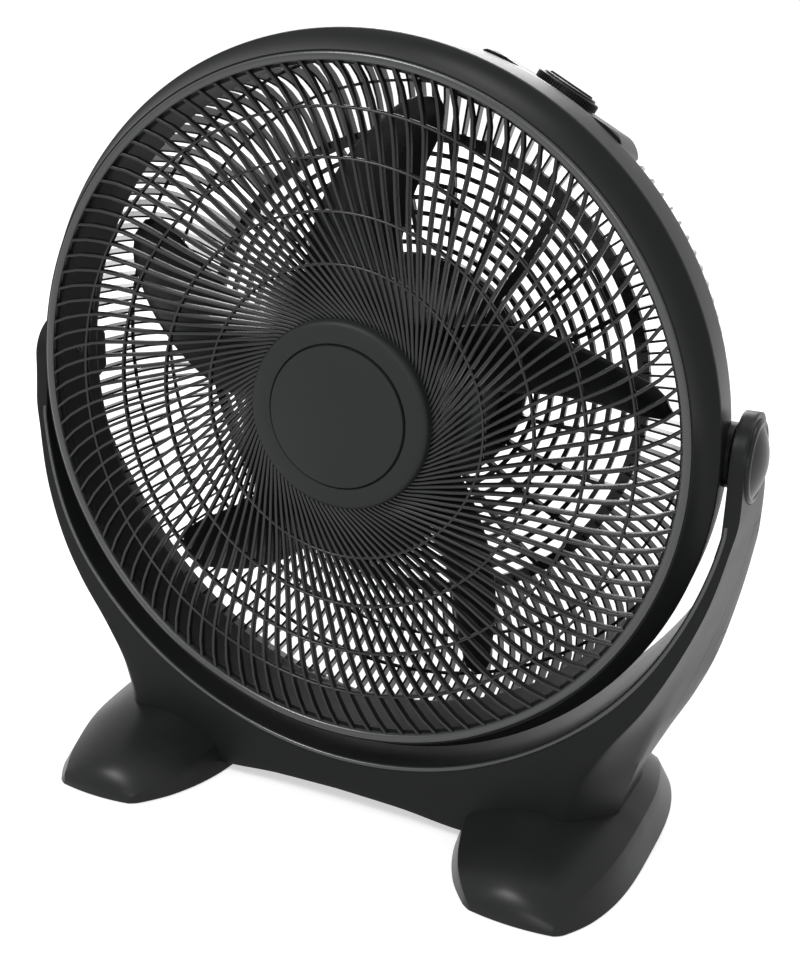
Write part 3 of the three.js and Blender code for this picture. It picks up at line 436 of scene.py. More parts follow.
def makeBezel():
    b = bezel
    bm = bmesh.new()
    lathe(bm, [
        (b["duct"], b["seat"] - b["wall"]), (b["duct"], b["seat"]), (b["lip"], b["seat"]),
        (b["lip"], b["front"]), *bezelFlare, (b["drum"], 0), (b["drum"] - b["wall"], 0),
        (b["rim"] - b["wall"], b["crease"]), *b["inside"],
        (b["lip"] - 0.6, b["seat"] - b["wall"])], steps=rimSteps)
    piece = solidObject("frontBezel", bm, headPlace)
    notches = [rodTool("notch", basket["boss"] + b["gap"], sideways(side, b["drum"]), 20) for side in (1, -1)]
    carve(piece, [("DIFFERENCE", notch) for notch in notches])
    discard(*notches)
    finish(piece, finishes["satinBlack"], "head", ["front_bezel"], 20)


def makeAirDuct():
    b = bezel
    front = b["seat"] - b["wall"] - b["gap"]
    bm = bmesh.new()
    outside = b["duct"] + b["wall"]
    lathe(bm, [(b["duct"], 0.4), (b["duct"] + 0.4, 0), (outside, 0), (outside, front), (b["duct"], front)],
          steps=rimSteps)
    piece = solidObject("airDuct", bm, headPlace)
    finish(piece, finishes["satinBlack"], "head", ["air_duct"], 20)


def makeDuctScrews():
    # a cross-head screw in the duct wall by each pivot
    b = bezel
    bm = bmesh.new()
    for turn in (b["screwTurn"], 180 - b["screwTurn"]):
        head = bmesh.new()
        lathe(head, [(0, -0.6), (2.9, -0.6), (2.9, 0.3), (2.3, 1.0), (1.2, 1.3), (0, 1.3)],
              steps=24, closed=False)
        at = polar(b["duct"], turn, b["screwFront"])
        inward = Matrix.Translation(at) @ (-at.xy.to_3d()).to_track_quat("Z", "Y").to_matrix().to_4x4()
        bmesh.ops.transform(head, matrix=inward, verts=head.verts[:])
        absorb(bm, head)
    piece = solidObject("ductScrews", bm, headPlace)
    slots = []
    for turn in (b["screwTurn"], 180 - b["screwTurn"]):
        at = headPlace @ polar(b["duct"] - 1.2, turn, b["screwFront"])
        for size in ((2, 0.6, 3.2), (2, 3.2, 0.6)):
            low, high = [at[i] - size[i] / 2 for i in range(3)], [at[i] + size[i] / 2 for i in range(3)]
            slots.append(boxTool("slot", low, high))
    carve(piece, [("DIFFERENCE", slot) for slot in slots])
    discard(*slots)
    finish(piece, finishes["darkScrew"], "head", (), 30)


# front grille with its lip, rings and hub, measured as the bezel is
grille = {
    "ribs": 112, "ribWidth": 2.1, "ribDepth": 4.6, "ribPhase": 0.2, "ribCuts": 17, "ribChamfer": 0.24,
    "ribSeat": 221, "lipInside": 224.0, "lipOutside": 229.6, "lipBack": 45.5, "lipFront": 50.5,
    "rings": (98.9, 132.7, 166.2, 197.0), "ringWidth": 1.8, "ringDepth": 3.6, "ringProud": 0.2,
    "hub": 63.9, "hubFront": 48.7, "hubDepth": 8, "disc": 47.9, "discProud": 1.6,
}
# how far a rib has turned from its start at the lip, in degrees, at a radius
ribTurn = [(62, -42.5), (66, -39), (76, -30.6), (88, -24), (100, -19), (115, -14.6), (132, -11), (150, -8.4),
           (170, -6.4), (190, -4.5), (204, -2.84), (214, -1.5), (225.5, 0.45)]
# how far the grille's face stands in front of the tilt axis, at a radius
ribFace = [(62, 41.5), (98.9, 43.5), (132.7, 46.3), (166.2, 48.1), (197, 48.6), (225.5, 49)]


def ribPoint(radius):
    return polar(radius, grille["ribPhase"] + smoothAlong(ribTurn, radius), smoothAlong(ribFace, radius))


def makeGrilleRibs():
    g = grille
    inner, outer = g["hub"] - 1.5, g["lipInside"] + 1.2

    def place(s, w, d):
        radius = inner + (outer - inner) * s ** 1.25
        ahead = ribPoint(min(radius + 1, ribFace[-1][0])) - ribPoint(radius - 1)
        across = Vector((-ahead.y, ahead.x, 0)).normalized()
        point = ribPoint(radius) + across * (w * g["ribWidth"] / 2)
        depth = min(g["ribDepth"], point.z - g["lipBack"]) if radius > g["ribSeat"] else g["ribDepth"]
        point.z -= depth if d < 0.5 else (1 - d) * g["ribWidth"]
        return point

    bm = bmesh.new()
    bar(bm, g["ribCuts"], place, chamfer=g["ribChamfer"])
    repeatRound(bm, g["ribs"])
    piece = solidObject("grilleRibs", bm, headPlace)
    finish(piece, finishes["grilleBlack"], "head", ["front_grille"], 50)


def makeGrilleRings():
    g = grille
    bm = bmesh.new()
    for radius in g["rings"]:
        front = smoothAlong(ribFace, radius) + g["ringProud"]
        half = g["ringWidth"] / 2
        ring = bmesh.new()
        lathe(ring, [(radius - half, front - g["ringDepth"]), (radius + half, front - g["ringDepth"]),
                     (radius + half, front - 0.6), (radius + half - 0.6, front),
                     (radius - half + 0.6, front), (radius - half, front - 0.6)], steps=ringSteps)
        absorb(bm, ring)
    piece = solidObject("grilleRings", bm, headPlace)
    finish(piece, finishes["grilleBlack"], "head", (), 50)


def makeLip():
    g = grille
    bm = bmesh.new()
    lathe(bm, [(g["lipInside"], g["lipBack"]), (g["lipOutside"], g["lipBack"]),
               (g["lipOutside"], g["lipFront"] - 1.2), (g["lipOutside"] - 0.5, g["lipFront"] - 0.5),
               (g["lipOutside"] - 1.4, g["lipFront"] - 0.1), (g["lipOutside"] - 2.8, g["lipFront"]),
               (g["lipInside"] + 1.2, g["lipFront"] - 0.4), (g["lipInside"] + 0.4, g["lipFront"] - 1),
               (g["lipInside"], g["lipFront"] - 1.8)], steps=rimSteps)
    piece = solidObject("grilleLip", bm, headPlace)
    # the lip takes the lighter copy of the black: a painted highlight round it
    finish(piece, finishes["sheenPaintedBlack"], "head", (), 40)


def makeHub():
    g = grille
    top = g["hubFront"]
    bm = bmesh.new()
    lathe(bm, [(0, top - g["hubDepth"]), (g["hub"], top - g["hubDepth"]), (g["hub"], top - 4.2),
               (g["hub"] - 0.5, top - 2.4), (g["hub"] - 1.6, top - 0.9), (g["hub"] - 3.6, top),
               (g["disc"] + 1.3, top + 0.1), (g["disc"] + 0.6, top - 0.5), (g["disc"] + 0.3, top - 1.8),
               (0, top - 1.8)], steps=ringSteps, closed=False)
    piece = solidObject("grilleHub", bm, headPlace)
    finish(piece, finishes["hubBlack"], "head", (), 40)

    bm = bmesh.new()
    proud = top + g["discProud"]
    lathe(bm, [(0, top - 1.5), (g["disc"], top - 1.5), (g["disc"], proud - 1.1),
               (g["disc"] - 0.4, proud - 0.3), (g["disc"] - 1.3, proud), (0, proud)],
          steps=ringSteps, closed=False)
    piece = solidObject("hubDisc", bm, headPlace)
    finish(piece, finishes["hubBlack"], "head", ["hub_badge"], 40)


# rear grille: distances are behind the tilt axis
basket = {
    "fins": 144, "finWidth": 1.7, "finDepth": 6.5, "finPhase": 1.75,
    "band": (162, 170), "bandBack": 78.4, "bandDepth": 4.6,
    "rings": (81.5, 91.6, 101.8, 112.2, 122.7, 132.8, 143.0, 153.4), "ringWidth": 3.3, "ringDepth": 4.2,
    "spokes": 24, "spokeWidth": 3.2, "spokePhase": 52, "spokeSweep": 8, "spokeCuts": 6,
    "thickSpoke": 6, "thickProud": 0.4,
    "skirtRings": ((203, 66.5), (225, 48.5)), "back": 78,
    "flange": (223.5, 239.8), "flangeDepth": 3.6, "gap": 0.3, "plate": (50, 84), "plateDepth": 3,
    "boss": 20, "bossSpan": (224.9, 244.1), "bossBore": 4.3, "bossBehind": 15.5,
    "bare": {"from": 46.1, "to": 74.9, "beyond": 207, "behind": 61},
}
# the basket's outline from the flange to the band: share of the way, radius, distance behind the tilt axis
skirt = [(0.0, (238.3, 3.9)), (0.17, (235.0, 20)), (0.38, (229.8, 40)), (0.58, (221.4, 58)),
         (0.72, (208, 70)), (0.86, (190, 76.4)), (1.0, (166, 78))]


def skirtPoint(s):
    radius = smoothAlong([(t, p[0]) for t, p in skirt], s)
    return Vector((radius, 0, -smoothAlong([(t, p[1]) for t, p in skirt], s)))


def makeFins():
    b = basket

    def place(s, w, d):
        middle = skirtPoint(s)
        ahead = skirtPoint(min(s + 0.02, 1)) - skirtPoint(max(s - 0.02, 0))
        inward = Vector((ahead.z, 0, -ahead.x)).normalized()
        if inward.x > 0:
            inward = -inward
        point = middle + inward * ((1 - d) * b["finDepth"])
        point.y = w * b["finWidth"] / 2
        return Matrix.Rotation(math.radians(b["finPhase"]), 3, "Z") @ point

    bm = bmesh.new()
    bar(bm, 12, place)
    repeatRound(bm, b["fins"])
    bare = b["bare"]  # the fins stop where the control housing sits

    def hidden(vert):
        turn = math.degrees(math.atan2(vert.co.y, vert.co.x))
        return (bare["from"] < turn < bare["to"] and vert.co.xy.length > bare["beyond"]
                and vert.co.z > -bare["behind"])

    gone = [f for f in bm.faces if all(hidden(v) for v in f.verts)]
    bmesh.ops.delete(bm, geom=gone, context="FACES")
    bmesh.ops.holes_fill(bm, edges=bm.edges[:], sides=4)
    piece = solidObject("basketFins", bm, headPlace)
    finish(piece, finishes["grilleBlack"], "head", ["rear_grille"], 40)


def makeBasketRings():
    b = basket
    bm = bmesh.new()

    def flatRing(inner, outer, front, back, steps=144):
        ring = bmesh.new()
        lathe(ring, [(inner, back + 0.4), (inner + 0.4, back), (outer - 0.4, back), (outer, back + 0.4),
                     (outer, front), (inner, front)], steps=steps)
        absorb(bm, ring)

    half = b["ringWidth"] / 2
    for radius in b["rings"]:
        flatRing(radius - half, radius + half, -b["back"] + b["ringDepth"], -b["back"], pieceSteps)
    flatRing(*b["band"], -b["bandBack"] + b["bandDepth"], -b["bandBack"])
    flatRing(*b["plate"], -b["back"] - 1 + b["plateDepth"], -b["back"] - 1)
    flatRing(*b["flange"], -b["gap"], -b["gap"] - b["flangeDepth"], rimSteps)
    for radius, behind in b["skirtRings"]:
        flatRing(radius - 2.4, radius - 0.4, -behind, -behind - 2.4, 180)
    piece = solidObject("basketRings", bm, headPlace)
    finish(piece, finishes["grilleBlack"], "head", (), 40)


def makeSpokes():
    b = basket
    outer, inner = b["band"][0] + 1, b["plate"][1] - 1

    def spoke(width, proud):
        def place(s, w, d):
            radius = outer + (inner - outer) * s
            further = s + 1 / (outer - inner)
            middle = polar(radius, b["spokePhase"] - b["spokeSweep"] * s)
            ahead = polar(radius - 1, b["spokePhase"] - b["spokeSweep"] * further) - middle
            across = Vector((-ahead.y, ahead.x, 0)).normalized()
            point = middle + across * (w * width / 2)
            point.z = -b["back"] - proud + (1 - d) * (b["bandDepth"] + 2 * proud)
            return point
        return place

    bm = bmesh.new()
    bar(bm, b["spokeCuts"], spoke(b["spokeWidth"], 0))
    repeatRound(bm, b["spokes"])
    thick = bmesh.new()
    bar(thick, b["spokeCuts"], spoke(b["thickSpoke"], b["thickProud"]))
    absorb(bm, thick)
    piece = solidObject("basketSpokes", bm, headPlace)
    finish(piece, finishes["grilleBlack"], "head", (), 40)


def makePivotBosses():
    b = basket
    bm = bmesh.new()
    inner, outer = b["bossSpan"]
    for side in (1, -1):
        boss = bmesh.new()
        lathe(boss, [(b["bossBore"], inner), (b["boss"] - 0.5, inner), (b["boss"], inner + 0.5),
                     (b["boss"], outer - 0.5), (b["boss"] - 0.5, outer), (b["bossBore"], outer)],
              steps=smallSteps)
        turn = Matrix.Rotation(side * math.pi / 2, 4, "Y")
        bmesh.ops.transform(boss, matrix=turn, verts=boss.verts[:])
        bmesh.ops.bisect_plane(boss, geom=boss.verts[:] + boss.edges[:] + boss.faces[:],
                               plane_co=(0, 0, -b["bossBehind"]), plane_no=(0, 0, -1), clear_outer=True)
        closeHoles(boss)
        absorb(bm, boss)
    piece = solidObject("pivotBosses", bm, headPlace)
    finish(piece, finishes["satinBlack"], "head", (), 40)


# fan blades and their hub: below zero is behind the tilt axis
fan = {"count": 5, "start": 80, "thickness": 2.2, "camber": 0.1, "tip": 204, "root": 50, "hub": 52,
       "hubFace": 8.5, "hubBack": -24, "bore": 4.3, "edge": 0.7, "cuts": (16, 30)}
# the two edges of a blade, by radius: degrees past the blade's start, distance in front of the tilt axis
rearEdge = {"turn": [(48, 4), (70, 3), (88, 1.8), (125, 0.6), (160, -1.8), (185, -3.5), (197, -3.6),
                     (204, -2.0)],
            "front": [(48, -19), (70, -15), (88, -12), (125, -10), (160, -9), (185, -8), (204, -4)]}
frontEdge = {"turn": [(48, 46), (70, 40), (88, 35), (125, 24.4), (160, 14.2), (185, 6.8), (197, 3.6),
                      (204, 0.6)],
             "front": [(48, -4), (70, 8), (88, 15), (125, 19), (160, 18), (185, 14), (204, 4)]}


def makeBlades():
    f = fan

    def place(u, v):
        radius = f["root"] + (f["tip"] - f["root"]) * (1 - (1 - v) ** 1.3)
        turn = smoothAlong(rearEdge["turn"], radius) * (1 - u) + smoothAlong(frontEdge["turn"], radius) * u
        rear, front = smoothAlong(rearEdge["front"], radius), smoothAlong(frontEdge["front"], radius)
        bow = f["camber"] * 4 * u * (1 - u) * (front - rear)
        return polar(radius, f["start"] + turn, rear + (front - rear) * u + bow)

    bm = bmesh.new()
    skin(bm, *f["cuts"], place)
    bmesh.ops.recalc_face_normals(bm, faces=bm.faces[:])
    bmesh.ops.solidify(bm, geom=bm.faces[:], thickness=f["thickness"])
    bmesh.ops.recalc_face_normals(bm, faces=bm.faces[:])
    roundEdges(bm, f["edge"], 2, angle=50)
    repeatRound(bm, f["count"])
    hub = bmesh.new()
    r, top, low = f["hub"], f["hubFace"], f["hubBack"]
    bore = f["bore"]
    lathe(hub, [(bore, low + 2), (9, low + 2), (9, top - 3), (r - 6, top - 3), (r - 2.5, top - 6.5),
                (r - 2.5, low), (r, low), (r, top - 6), (r - 1.4, top - 2.4), (r - 4, top - 0.4),
                (r - 7, top), (bore, top)], steps=pieceSteps)
    absorb(bm, hub)
    piece = solidObject("fanBlades", bm, headPlace)
    finish(piece, finishes["bladeBlack"], "blade", ["fan_blade"], 40)

    bm = bmesh.new()
    lathe(bm, [(bore, top + 0.3), (15, top + 0.3), (15, top + 7), (14.4, top + 8), (10.6, top + 14),
               (9.4, top + 15), (0, top + 16.2), (0, top + 13.3), (bore, top + 13.3)], steps=smallSteps)
    piece = solidObject("bladeNut", bm, headPlace)
    finish(piece, finishes["smoothBlack"], "blade", ["blade_nut"], 40)


# Stations down the right half of the U, by the angle turned from the tilt axis towards the ground:
# outer corner at the front (x, z) and at the back (x, z), and how round the front outer corner is.
yokeStops = [
    (0, (255.8, 290), (255.8, 290), 0), (6, (256.2, 262), (257.6, 262), 0),
    (12, (252, 236), (256.5, 236), 0), (18.5, (246, 209), (252.5, 209), 0),
    (26, (234.5, 176), (245, 172), 0), (36.5, (213, 131), (235, 133), 0.15),
    (45.5, (189, 94), (223, 102), 0.45), (53, (172, 62), (206, 67), 0.8),
    (59, (166, 36), (193, 34), 1), (63, (165, 8), (190, 8), 1), (68, (128, 8), (140, 8), 1),
    (75, (94, 8), (94, 8), 1), (82.5, (47, 11.8), (47, 11.8), 1), (90, (0, 13), (0, 13), 1)]
yoke = {
    "inner": 250, "armInner": 246.6, "armOuter": 255.8, "endRadius": 28, "halfDepth": 45,
    "straight": 46.6, "straightTurn": 10.8, "narrowing": 150, "shoulder": 8, "chamfer": 0.7,
    "bead": 2.6, "beadTop": 235, "beadFront": 20, "edge": 1.3, "seam": 18, "seamGap": 0.3, "rearTop": 240,
    "capHole": 26.1, "capHoleDepth": 1.6, "capDrop": 2,
}


def yokeStop(turned, which, axis):
    return smoothAlong([(stop[0], stop[which][axis]) for stop in yokeStops], turned)


def yokeDepth(z):
    y = yoke
    if z > pivotHeight:
        return math.sqrt(max(y["endRadius"] ** 2 - (z - pivotHeight) ** 2, 0))
    t = min((pivotHeight - z) / y["narrowing"], 1)
    return y["endRadius"] + (y["halfDepth"] - y["endRadius"]) * t * t * (3 - 2 * t)


def yokeInner(turned):
    y = yoke
    low = math.radians(90 - turned)
    x = min(y["inner"] * math.sin(low), y["armInner"])
    if turned < y["straightTurn"]:
        return x, pivotHeight - y["straight"] * turned / y["straightTurn"]
    return x, pivotHeight - y["inner"] * math.cos(low)


def makeYokeSolid():
    y = yoke
    endSteps, arcSteps = 14, 84
    frontSteps, cornerSteps, sideSteps, innerSteps = 4, 10, 5, 4
    around = frontSteps * 2 + cornerSteps + sideSteps + innerSteps
    total = endSteps + arcSteps

    def place(u, v):
        row = round(v * total)
        if row < endSteps:
            turned, lift = 0, y["endRadius"] * math.sin(math.pi / 2 * (1 - row / endSteps))
        else:
            turned, lift = 90 * (row - endSteps) / arcSteps, 0
        ix, iz = yokeInner(turned)
        iz += lift
        front = (yokeStop(turned, 1, 0), yokeStop(turned, 1, 1) + lift)
        back = (yokeStop(turned, 2, 0), yokeStop(turned, 2, 1) + lift)
        depth = yokeDepth(front[1])
        roundness = smoothAlong([(stop[0], stop[3]) for stop in yokeStops], turned)
        shoulder = -min(y["shoulder"], depth / 2)

        def outer(yy, arc):
            straightShare = (yy + depth) / (2 * depth) if depth > 0.01 else 0.5
            share = straightShare * (1 - roundness) + arc * roundness
            return front[0] + (back[0] - front[0]) * share, front[1] + (back[1] - front[1]) * share

        step = round(u * around)
        if step <= frontSteps:
            t = step / frontSteps
            ox, oz = outer(-depth, 0)
            return Vector((ix + (ox - ix) * t, -depth, iz + (oz - iz) * t))
        step -= frontSteps
        if step <= cornerSteps:
            angle = math.pi / 2 * step / cornerSteps
            yy = shoulder - (depth + shoulder) * math.cos(angle)
            flat = (yy + depth) / (depth + shoulder) if depth > 0.01 else 0
            ox, oz = outer(yy, flat * y["chamfer"] + math.sin(angle) * (1 - y["chamfer"]))
            return Vector((ox, yy, oz))
        step -= cornerSteps
        if step <= sideSteps:
            yy = shoulder + (depth - shoulder) * step / sideSteps
            ox, oz = outer(yy, 1)
            return Vector((ox, yy, oz))
        step -= sideSteps
        if step <= frontSteps:
            t = 1 - step / frontSteps
            ox, oz = outer(depth, 1)
            return Vector((ix + (ox - ix) * t, depth, iz + (oz - iz) * t))
        step -= frontSteps
        return Vector((ix, depth - 2 * depth * step / innerSteps, iz))

    bm = bmesh.new()
    skin(bm, around, total, place)
    bmesh.ops.remove_doubles(bm, verts=bm.verts[:], dist=0.01)
    bmesh.ops.dissolve_degenerate(bm, dist=0.005, edges=bm.edges[:])
    bmesh.ops.mirror(bm, geom=bm.verts[:] + bm.edges[:] + bm.faces[:], matrix=noPlace,
                     merge_dist=0.01, axis="X")
    bmesh.ops.remove_doubles(bm, verts=bm.verts[:], dist=0.01)
    bmesh.ops.recalc_face_normals(bm, faces=bm.faces[:])

    def beaded(p):
        fromAxis = math.hypot(p.x, p.z - pivotHeight)
        return p.y < -y["beadFront"] and p.z < y["beadTop"] and fromAxis < y["inner"] + 1

    roundEdges(bm, y["bead"], 4, angle=40, choose=beaded)
    roundEdges(bm, y["edge"], 2, angle=40)
    return solidObject("yokeSolid", bm, merge=0.0005)


def boxTool(name, low, high):
    bm = bmesh.new()
    bmesh.ops.create_cube(bm, size=1)
    size = [b - a for a, b in zip(low, high)]
    middle = [(a + b) / 2 for a, b in zip(low, high)]
    return solidObject(name, bm, Matrix.Translation(middle) @ Matrix.Diagonal((*size, 1)))


def rodTool(name, radius, place, length, segments=96):
    bm = bmesh.new()
    bmesh.ops.create_cone(bm, cap_ends=True, segments=segments, radius1=radius, radius2=radius, depth=length)
    return solidObject(name, bm, place)


def sideways(side, x, z=pivotHeight):
    # local z points out to the right (side 1) or to the left (side -1)
    return Matrix.Translation((side * x, 0, z)) @ Matrix.Rotation(side * math.pi / 2, 4, "Y")


def makeYoke():
    y = yoke
    whole = makeYokeSolid()
    capHeight = pivotHeight - y["capDrop"]
    holeLength = 20
    holeMiddle = y["armOuter"] - y["capHoleDepth"] + holeLength / 2
    holes = [rodTool("hole", y["capHole"], sideways(side, holeMiddle, capHeight), holeLength)
             for side in (1, -1)]
    carve(whole, [("DIFFERENCE", hole) for hole in holes])
    frontPiece = whole.copy()
    frontPiece.data = whole.data.copy()
    frontPiece.name = "yokeFront"
    bpy.context.collection.objects.link(frontPiece)
    half = y["seamGap"] / 2
    wide, deep, under = 400, 200, -50  # well past the yoke
    behind = boxTool("behind", (-wide, y["seam"] - half, under), (wide, deep, y["rearTop"] + half))
    rearOnly = boxTool("rearOnly", (-wide, y["seam"] + half, under), (wide, deep, y["rearTop"] - half))
    carve(frontPiece, [("DIFFERENCE", behind)])
    carve(whole, [("INTERSECT", rearOnly)])
    whole.name = "yokeRear"
    discard(behind, rearOnly, *holes)
    finish(frontPiece, finishes["satinBlack"], "stand", ["yoke_front_shell"], 24)
    finish(whole, finishes["satinBlack"], "stand", ["yoke_rear_shell"], 24)


saddleBead = {"start": 8, "rows": 150, "inset": 1.9, "halfWidth": 1.7, "sunk": 1.0, "halfHeight": 2.0}


def makeSaddleBead():
    # a rounded bead along the inner front edge of the U
    b = saddleBead

    def place(u, v):
        row = round(v * b["rows"])
        share = (min(max(row, 1), b["rows"] - 1) - 1) / (b["rows"] - 2)
        turned = b["start"] + (180 - 2 * b["start"]) * share
        x, z = yokeInner(min(turned, 180 - turned))
        out = Vector((x, z - pivotHeight)).normalized()
        size = 0 if row in (0, b["rows"]) else 1
        across = b["inset"] + b["halfWidth"] * math.cos(fullTurn * u) * size
        ahead = b["sunk"] - b["halfHeight"] * math.sin(fullTurn * u) * size
        side = 1 if turned < 90 else -1
        return Vector((side * (x + out.x * across), ahead - yokeDepth(z), z + out.y * across))

    bm = bmesh.new()
    skin(bm, 12, b["rows"], place)
    bmesh.ops.remove_doubles(bm, verts=bm.verts[:], dist=0.01)
    piece = solidObject("saddleBead", bm)
    # the bead takes the lighter copy of the black: a painted highlight along it
    finish(piece, finishes["sheenPaintedBlack"], "stand", (), 60)


cap = {"radius": 25.8, "back": 1.3, "rim": 2.4, "bead": 3.4, "groove": 0.5, "dome": 7.5, "domeSteps": 14}


def makePivotCaps():
    c = cap
    r, rim, inner = c["radius"], c["rim"], c["radius"] - c["bead"]
    edge, low, steps = inner - 0.9, rim - c["groove"], c["domeSteps"]
    shares = [(i / steps) ** 1.2 for i in range(1, steps + 1)]
    dome = [(edge * (1 - share), low + (c["dome"] - low) * (1 - (1 - share) ** 2)) for share in shares]
    for side, word in ((1, "right"), (-1, "left")):
        bm = bmesh.new()
        lathe(bm, [(0, -c["back"]), (r, -c["back"]), (r, rim - 1.6), (r - 0.5, rim - 0.6),
                   (r - 1.3, rim - 0.1), (r - 2.1, rim), (r - 2.9, rim - 0.1), (inner, low),
                   (edge, low), *dome],
              steps=pieceSteps, closed=False)
        place = sideways(side, yoke["armOuter"], pivotHeight - yoke["capDrop"])
        piece = solidObject("pivotCap" + word.title(), bm, place)
        finish(piece, finishes["smoothBlack"], "stand", ["pivot_cap_" + word], 35)


# the feet are each other's mirror image
foot = {
    "centre": 155, "halfLength": 117, "bottom": 0.8, "corner": 2.2, "cornerLength": 5,
    "endBow": 2.6, "bowLength": 25, "rows": 72, "bandSteps": 3, "domeSteps": 24,
    "outside": {"end": 33, "bulge": 26, "power": 3.2}, "inside": {"end": 27.5, "bulge": 37.7, "power": 2.7},
}
# from the end towards the middle: height of the crease, height of the crown, crease's distance in
footCrease = [(0, 3.5), (3, 7), (8, 9.2), (20, 13), (45, 18), (72, 21), (117, 23)]
footCrown = [(0, 6), (1, 8.6), (3, 12.5), (9, 19), (20, 25), (45, 33), (72, 38), (95, 39.6), (117, 40)]
innerInset = [(0, 0.6), (3, 1), (13, 1.6), (34, 3.8), (60, 6), (117, 7)]
outerInset = [(0, 1.4), (3, 3.4), (13, 6.4), (45, 9.6), (80, 8.6), (117, 8)]


def makeFoot(side, word):
    f = foot
    bandSteps, domeSteps, rows = f["bandSteps"], f["domeSteps"], f["rows"]
    across = bandSteps * 2 + domeSteps
    reach = f["halfLength"]

    def halfWidth(which, y, fromEnd):
        cornered = f["corner"] * max(0, 1 - fromEnd / f["cornerLength"]) ** 2
        return which["end"] + which["bulge"] * (1 - abs(y / reach) ** which["power"]) - cornered

    def place(u, v):
        step = round(u * across)
        row = round(v * rows)
        grounded = row in (0, rows)
        row = min(max(row, 1), rows - 1)
        middleRow = (rows - 2) / 2
        fromEnd = reach * (min(row - 1, rows - 1 - row) / middleRow) ** 1.8
        y = (-1 if row - 1 < middleRow else 1) * (reach - fromEnd)
        low, high = -halfWidth(f["inside"], y, fromEnd), halfWidth(f["outside"], y, fromEnd)
        nearInset, farInset = smoothAlong(innerInset, fromEnd), smoothAlong(outerInset, fromEnd)
        crease, crown = smoothAlong(footCrease, fromEnd), smoothAlong(footCrown, fromEnd)
        if bandSteps < step < across - bandSteps:
            angle = math.pi * (step - bandSteps) / domeSteps
            left, right = low + nearInset, high - farInset
            x = (left + right) / 2 - (right - left) / 2 * math.cos(angle)
            z = crease + (crown - crease) * math.sin(angle) ** 2
        else:
            t = min(step, across - step) / bandSteps
            x = low + nearInset * t if step <= bandSteps else high - farInset * t
            z = f["bottom"] + (crease - f["bottom"]) * t
        if grounded:
            z = f["bottom"]
        offside = (2 * x - low - high) / (high - low)
        bow = f["endBow"] * offside ** 2 * max(0, 1 - fromEnd / f["bowLength"])
        y -= math.copysign(bow, y)
        return Vector((side * (f["centre"] + x), y, z))

    bm = bmesh.new()
    skin(bm, across, rows, place)
    bmesh.ops.remove_doubles(bm, verts=bm.verts[:], dist=0.01)
    closeHoles(bm)
    bmesh.ops.recalc_face_normals(bm, faces=bm.faces[:])
    roundEdges(bm, 0.7, 2, angle=19, choose=lambda p: p.z > f["bottom"] + 0.5)
    piece = solidObject("foot" + word.title(), bm)
    finish(piece, finishes["smoothBlack"], "stand", ["foot_" + word], 30)


# control housing on top of the head, with a deck that leans back and carries the knob
control = {
    "angle": 60.5, "halfSpan": 14.1, "radii": (208, 241.3), "behind": (4.2, 60), "cuts": 15,
    "endRound": 6, "rimRound": 2, "flat": 42, "roll": 13, "rollSteps": 14,
    "deckRadius": 231.7, "deckBehind": 32, "lean": 13.5, "rimReach": 3,
}
knobPlace = (Matrix.Translation((0, 0, pivotHeight))
             @ Matrix.Rotation(math.radians(90 - control["angle"]), 4, "Y")
             @ Matrix.Translation((0, control["deckBehind"], control["deckRadius"]))
             @ Matrix.Rotation(-math.radians(control["lean"]), 4, "X"))  # z = 0 on the deck


def makeControlHousing():
    c = control
    lean = math.radians(c["lean"])
    deckPoint = polar(c["deckRadius"], c["angle"], -c["deckBehind"])
    deckNormal = polar(math.cos(lean), c["angle"], -math.sin(lean))
    (low, high), (front, back) = c["radii"], c["behind"]

    def bend(p):
        return polar(low + (high - low) * (p.z + 0.5), c["angle"] + 2 * c["halfSpan"] * p.x,
                     -(front + (back - front) * (p.y + 0.5)))

    bm = bmesh.new()
    bmesh.ops.create_cube(bm, size=1)
    bmesh.ops.subdivide_edges(bm, edges=bm.edges[:], cuts=c["cuts"], use_grid_fill=True)
    corners = [e for e in bm.edges if all(abs(v.co.x) > 0.49 and abs(v.co.y) > 0.49 for v in e.verts)]
    for vert in bm.verts:
        vert.co = bend(vert.co)
    bmesh.ops.bevel(bm, geom=corners, offset=c["endRound"], offset_type="OFFSET", affect="EDGES",
                    segments=8, profile=0.5, material=-1, clamp_overlap=False)

    def planeOff(point, normal):
        bmesh.ops.bisect_plane(bm, geom=bm.verts[:] + bm.edges[:] + bm.faces[:], plane_co=point,
                               plane_no=normal, clear_outer=True)
        closeHoles(bm)

    planeOff(deckPoint, deckNormal)
    # both ends of the deck roll down
    for end in (1, -1):
        along = polar(end, c["angle"] + 90)
        middle = deckPoint + along * c["flat"] - deckNormal * c["roll"]
        for step in range(1, c["rollSteps"] + 1):
            tilt = math.pi / 2 * step / c["rollSteps"]
            normal = deckNormal * math.cos(tilt) + along * math.sin(tilt)
            planeOff(middle + normal * c["roll"], normal)
    bmesh.ops.recalc_face_normals(bm, faces=bm.faces[:])

    def nearDeck(p):
        return (p - deckPoint).dot(deckNormal) > -c["roll"] - c["rimReach"]

    roundEdges(bm, c["rimRound"], 5, angle=40, choose=nearDeck)
    piece = solidObject("controlHousing", bm, headPlace)
    finish(piece, finishes["satinBlack"], "head", ["control_housing"], 5)


knob = {"gap": 0.4, "gripTop": 5.4, "top": 6.9, "radius": 21.6, "faceRadius": 18.4, "bore": 3.3, "grips": 66,
        "pointer": {"width": 4, "length": 31.8, "top": 8.1}}


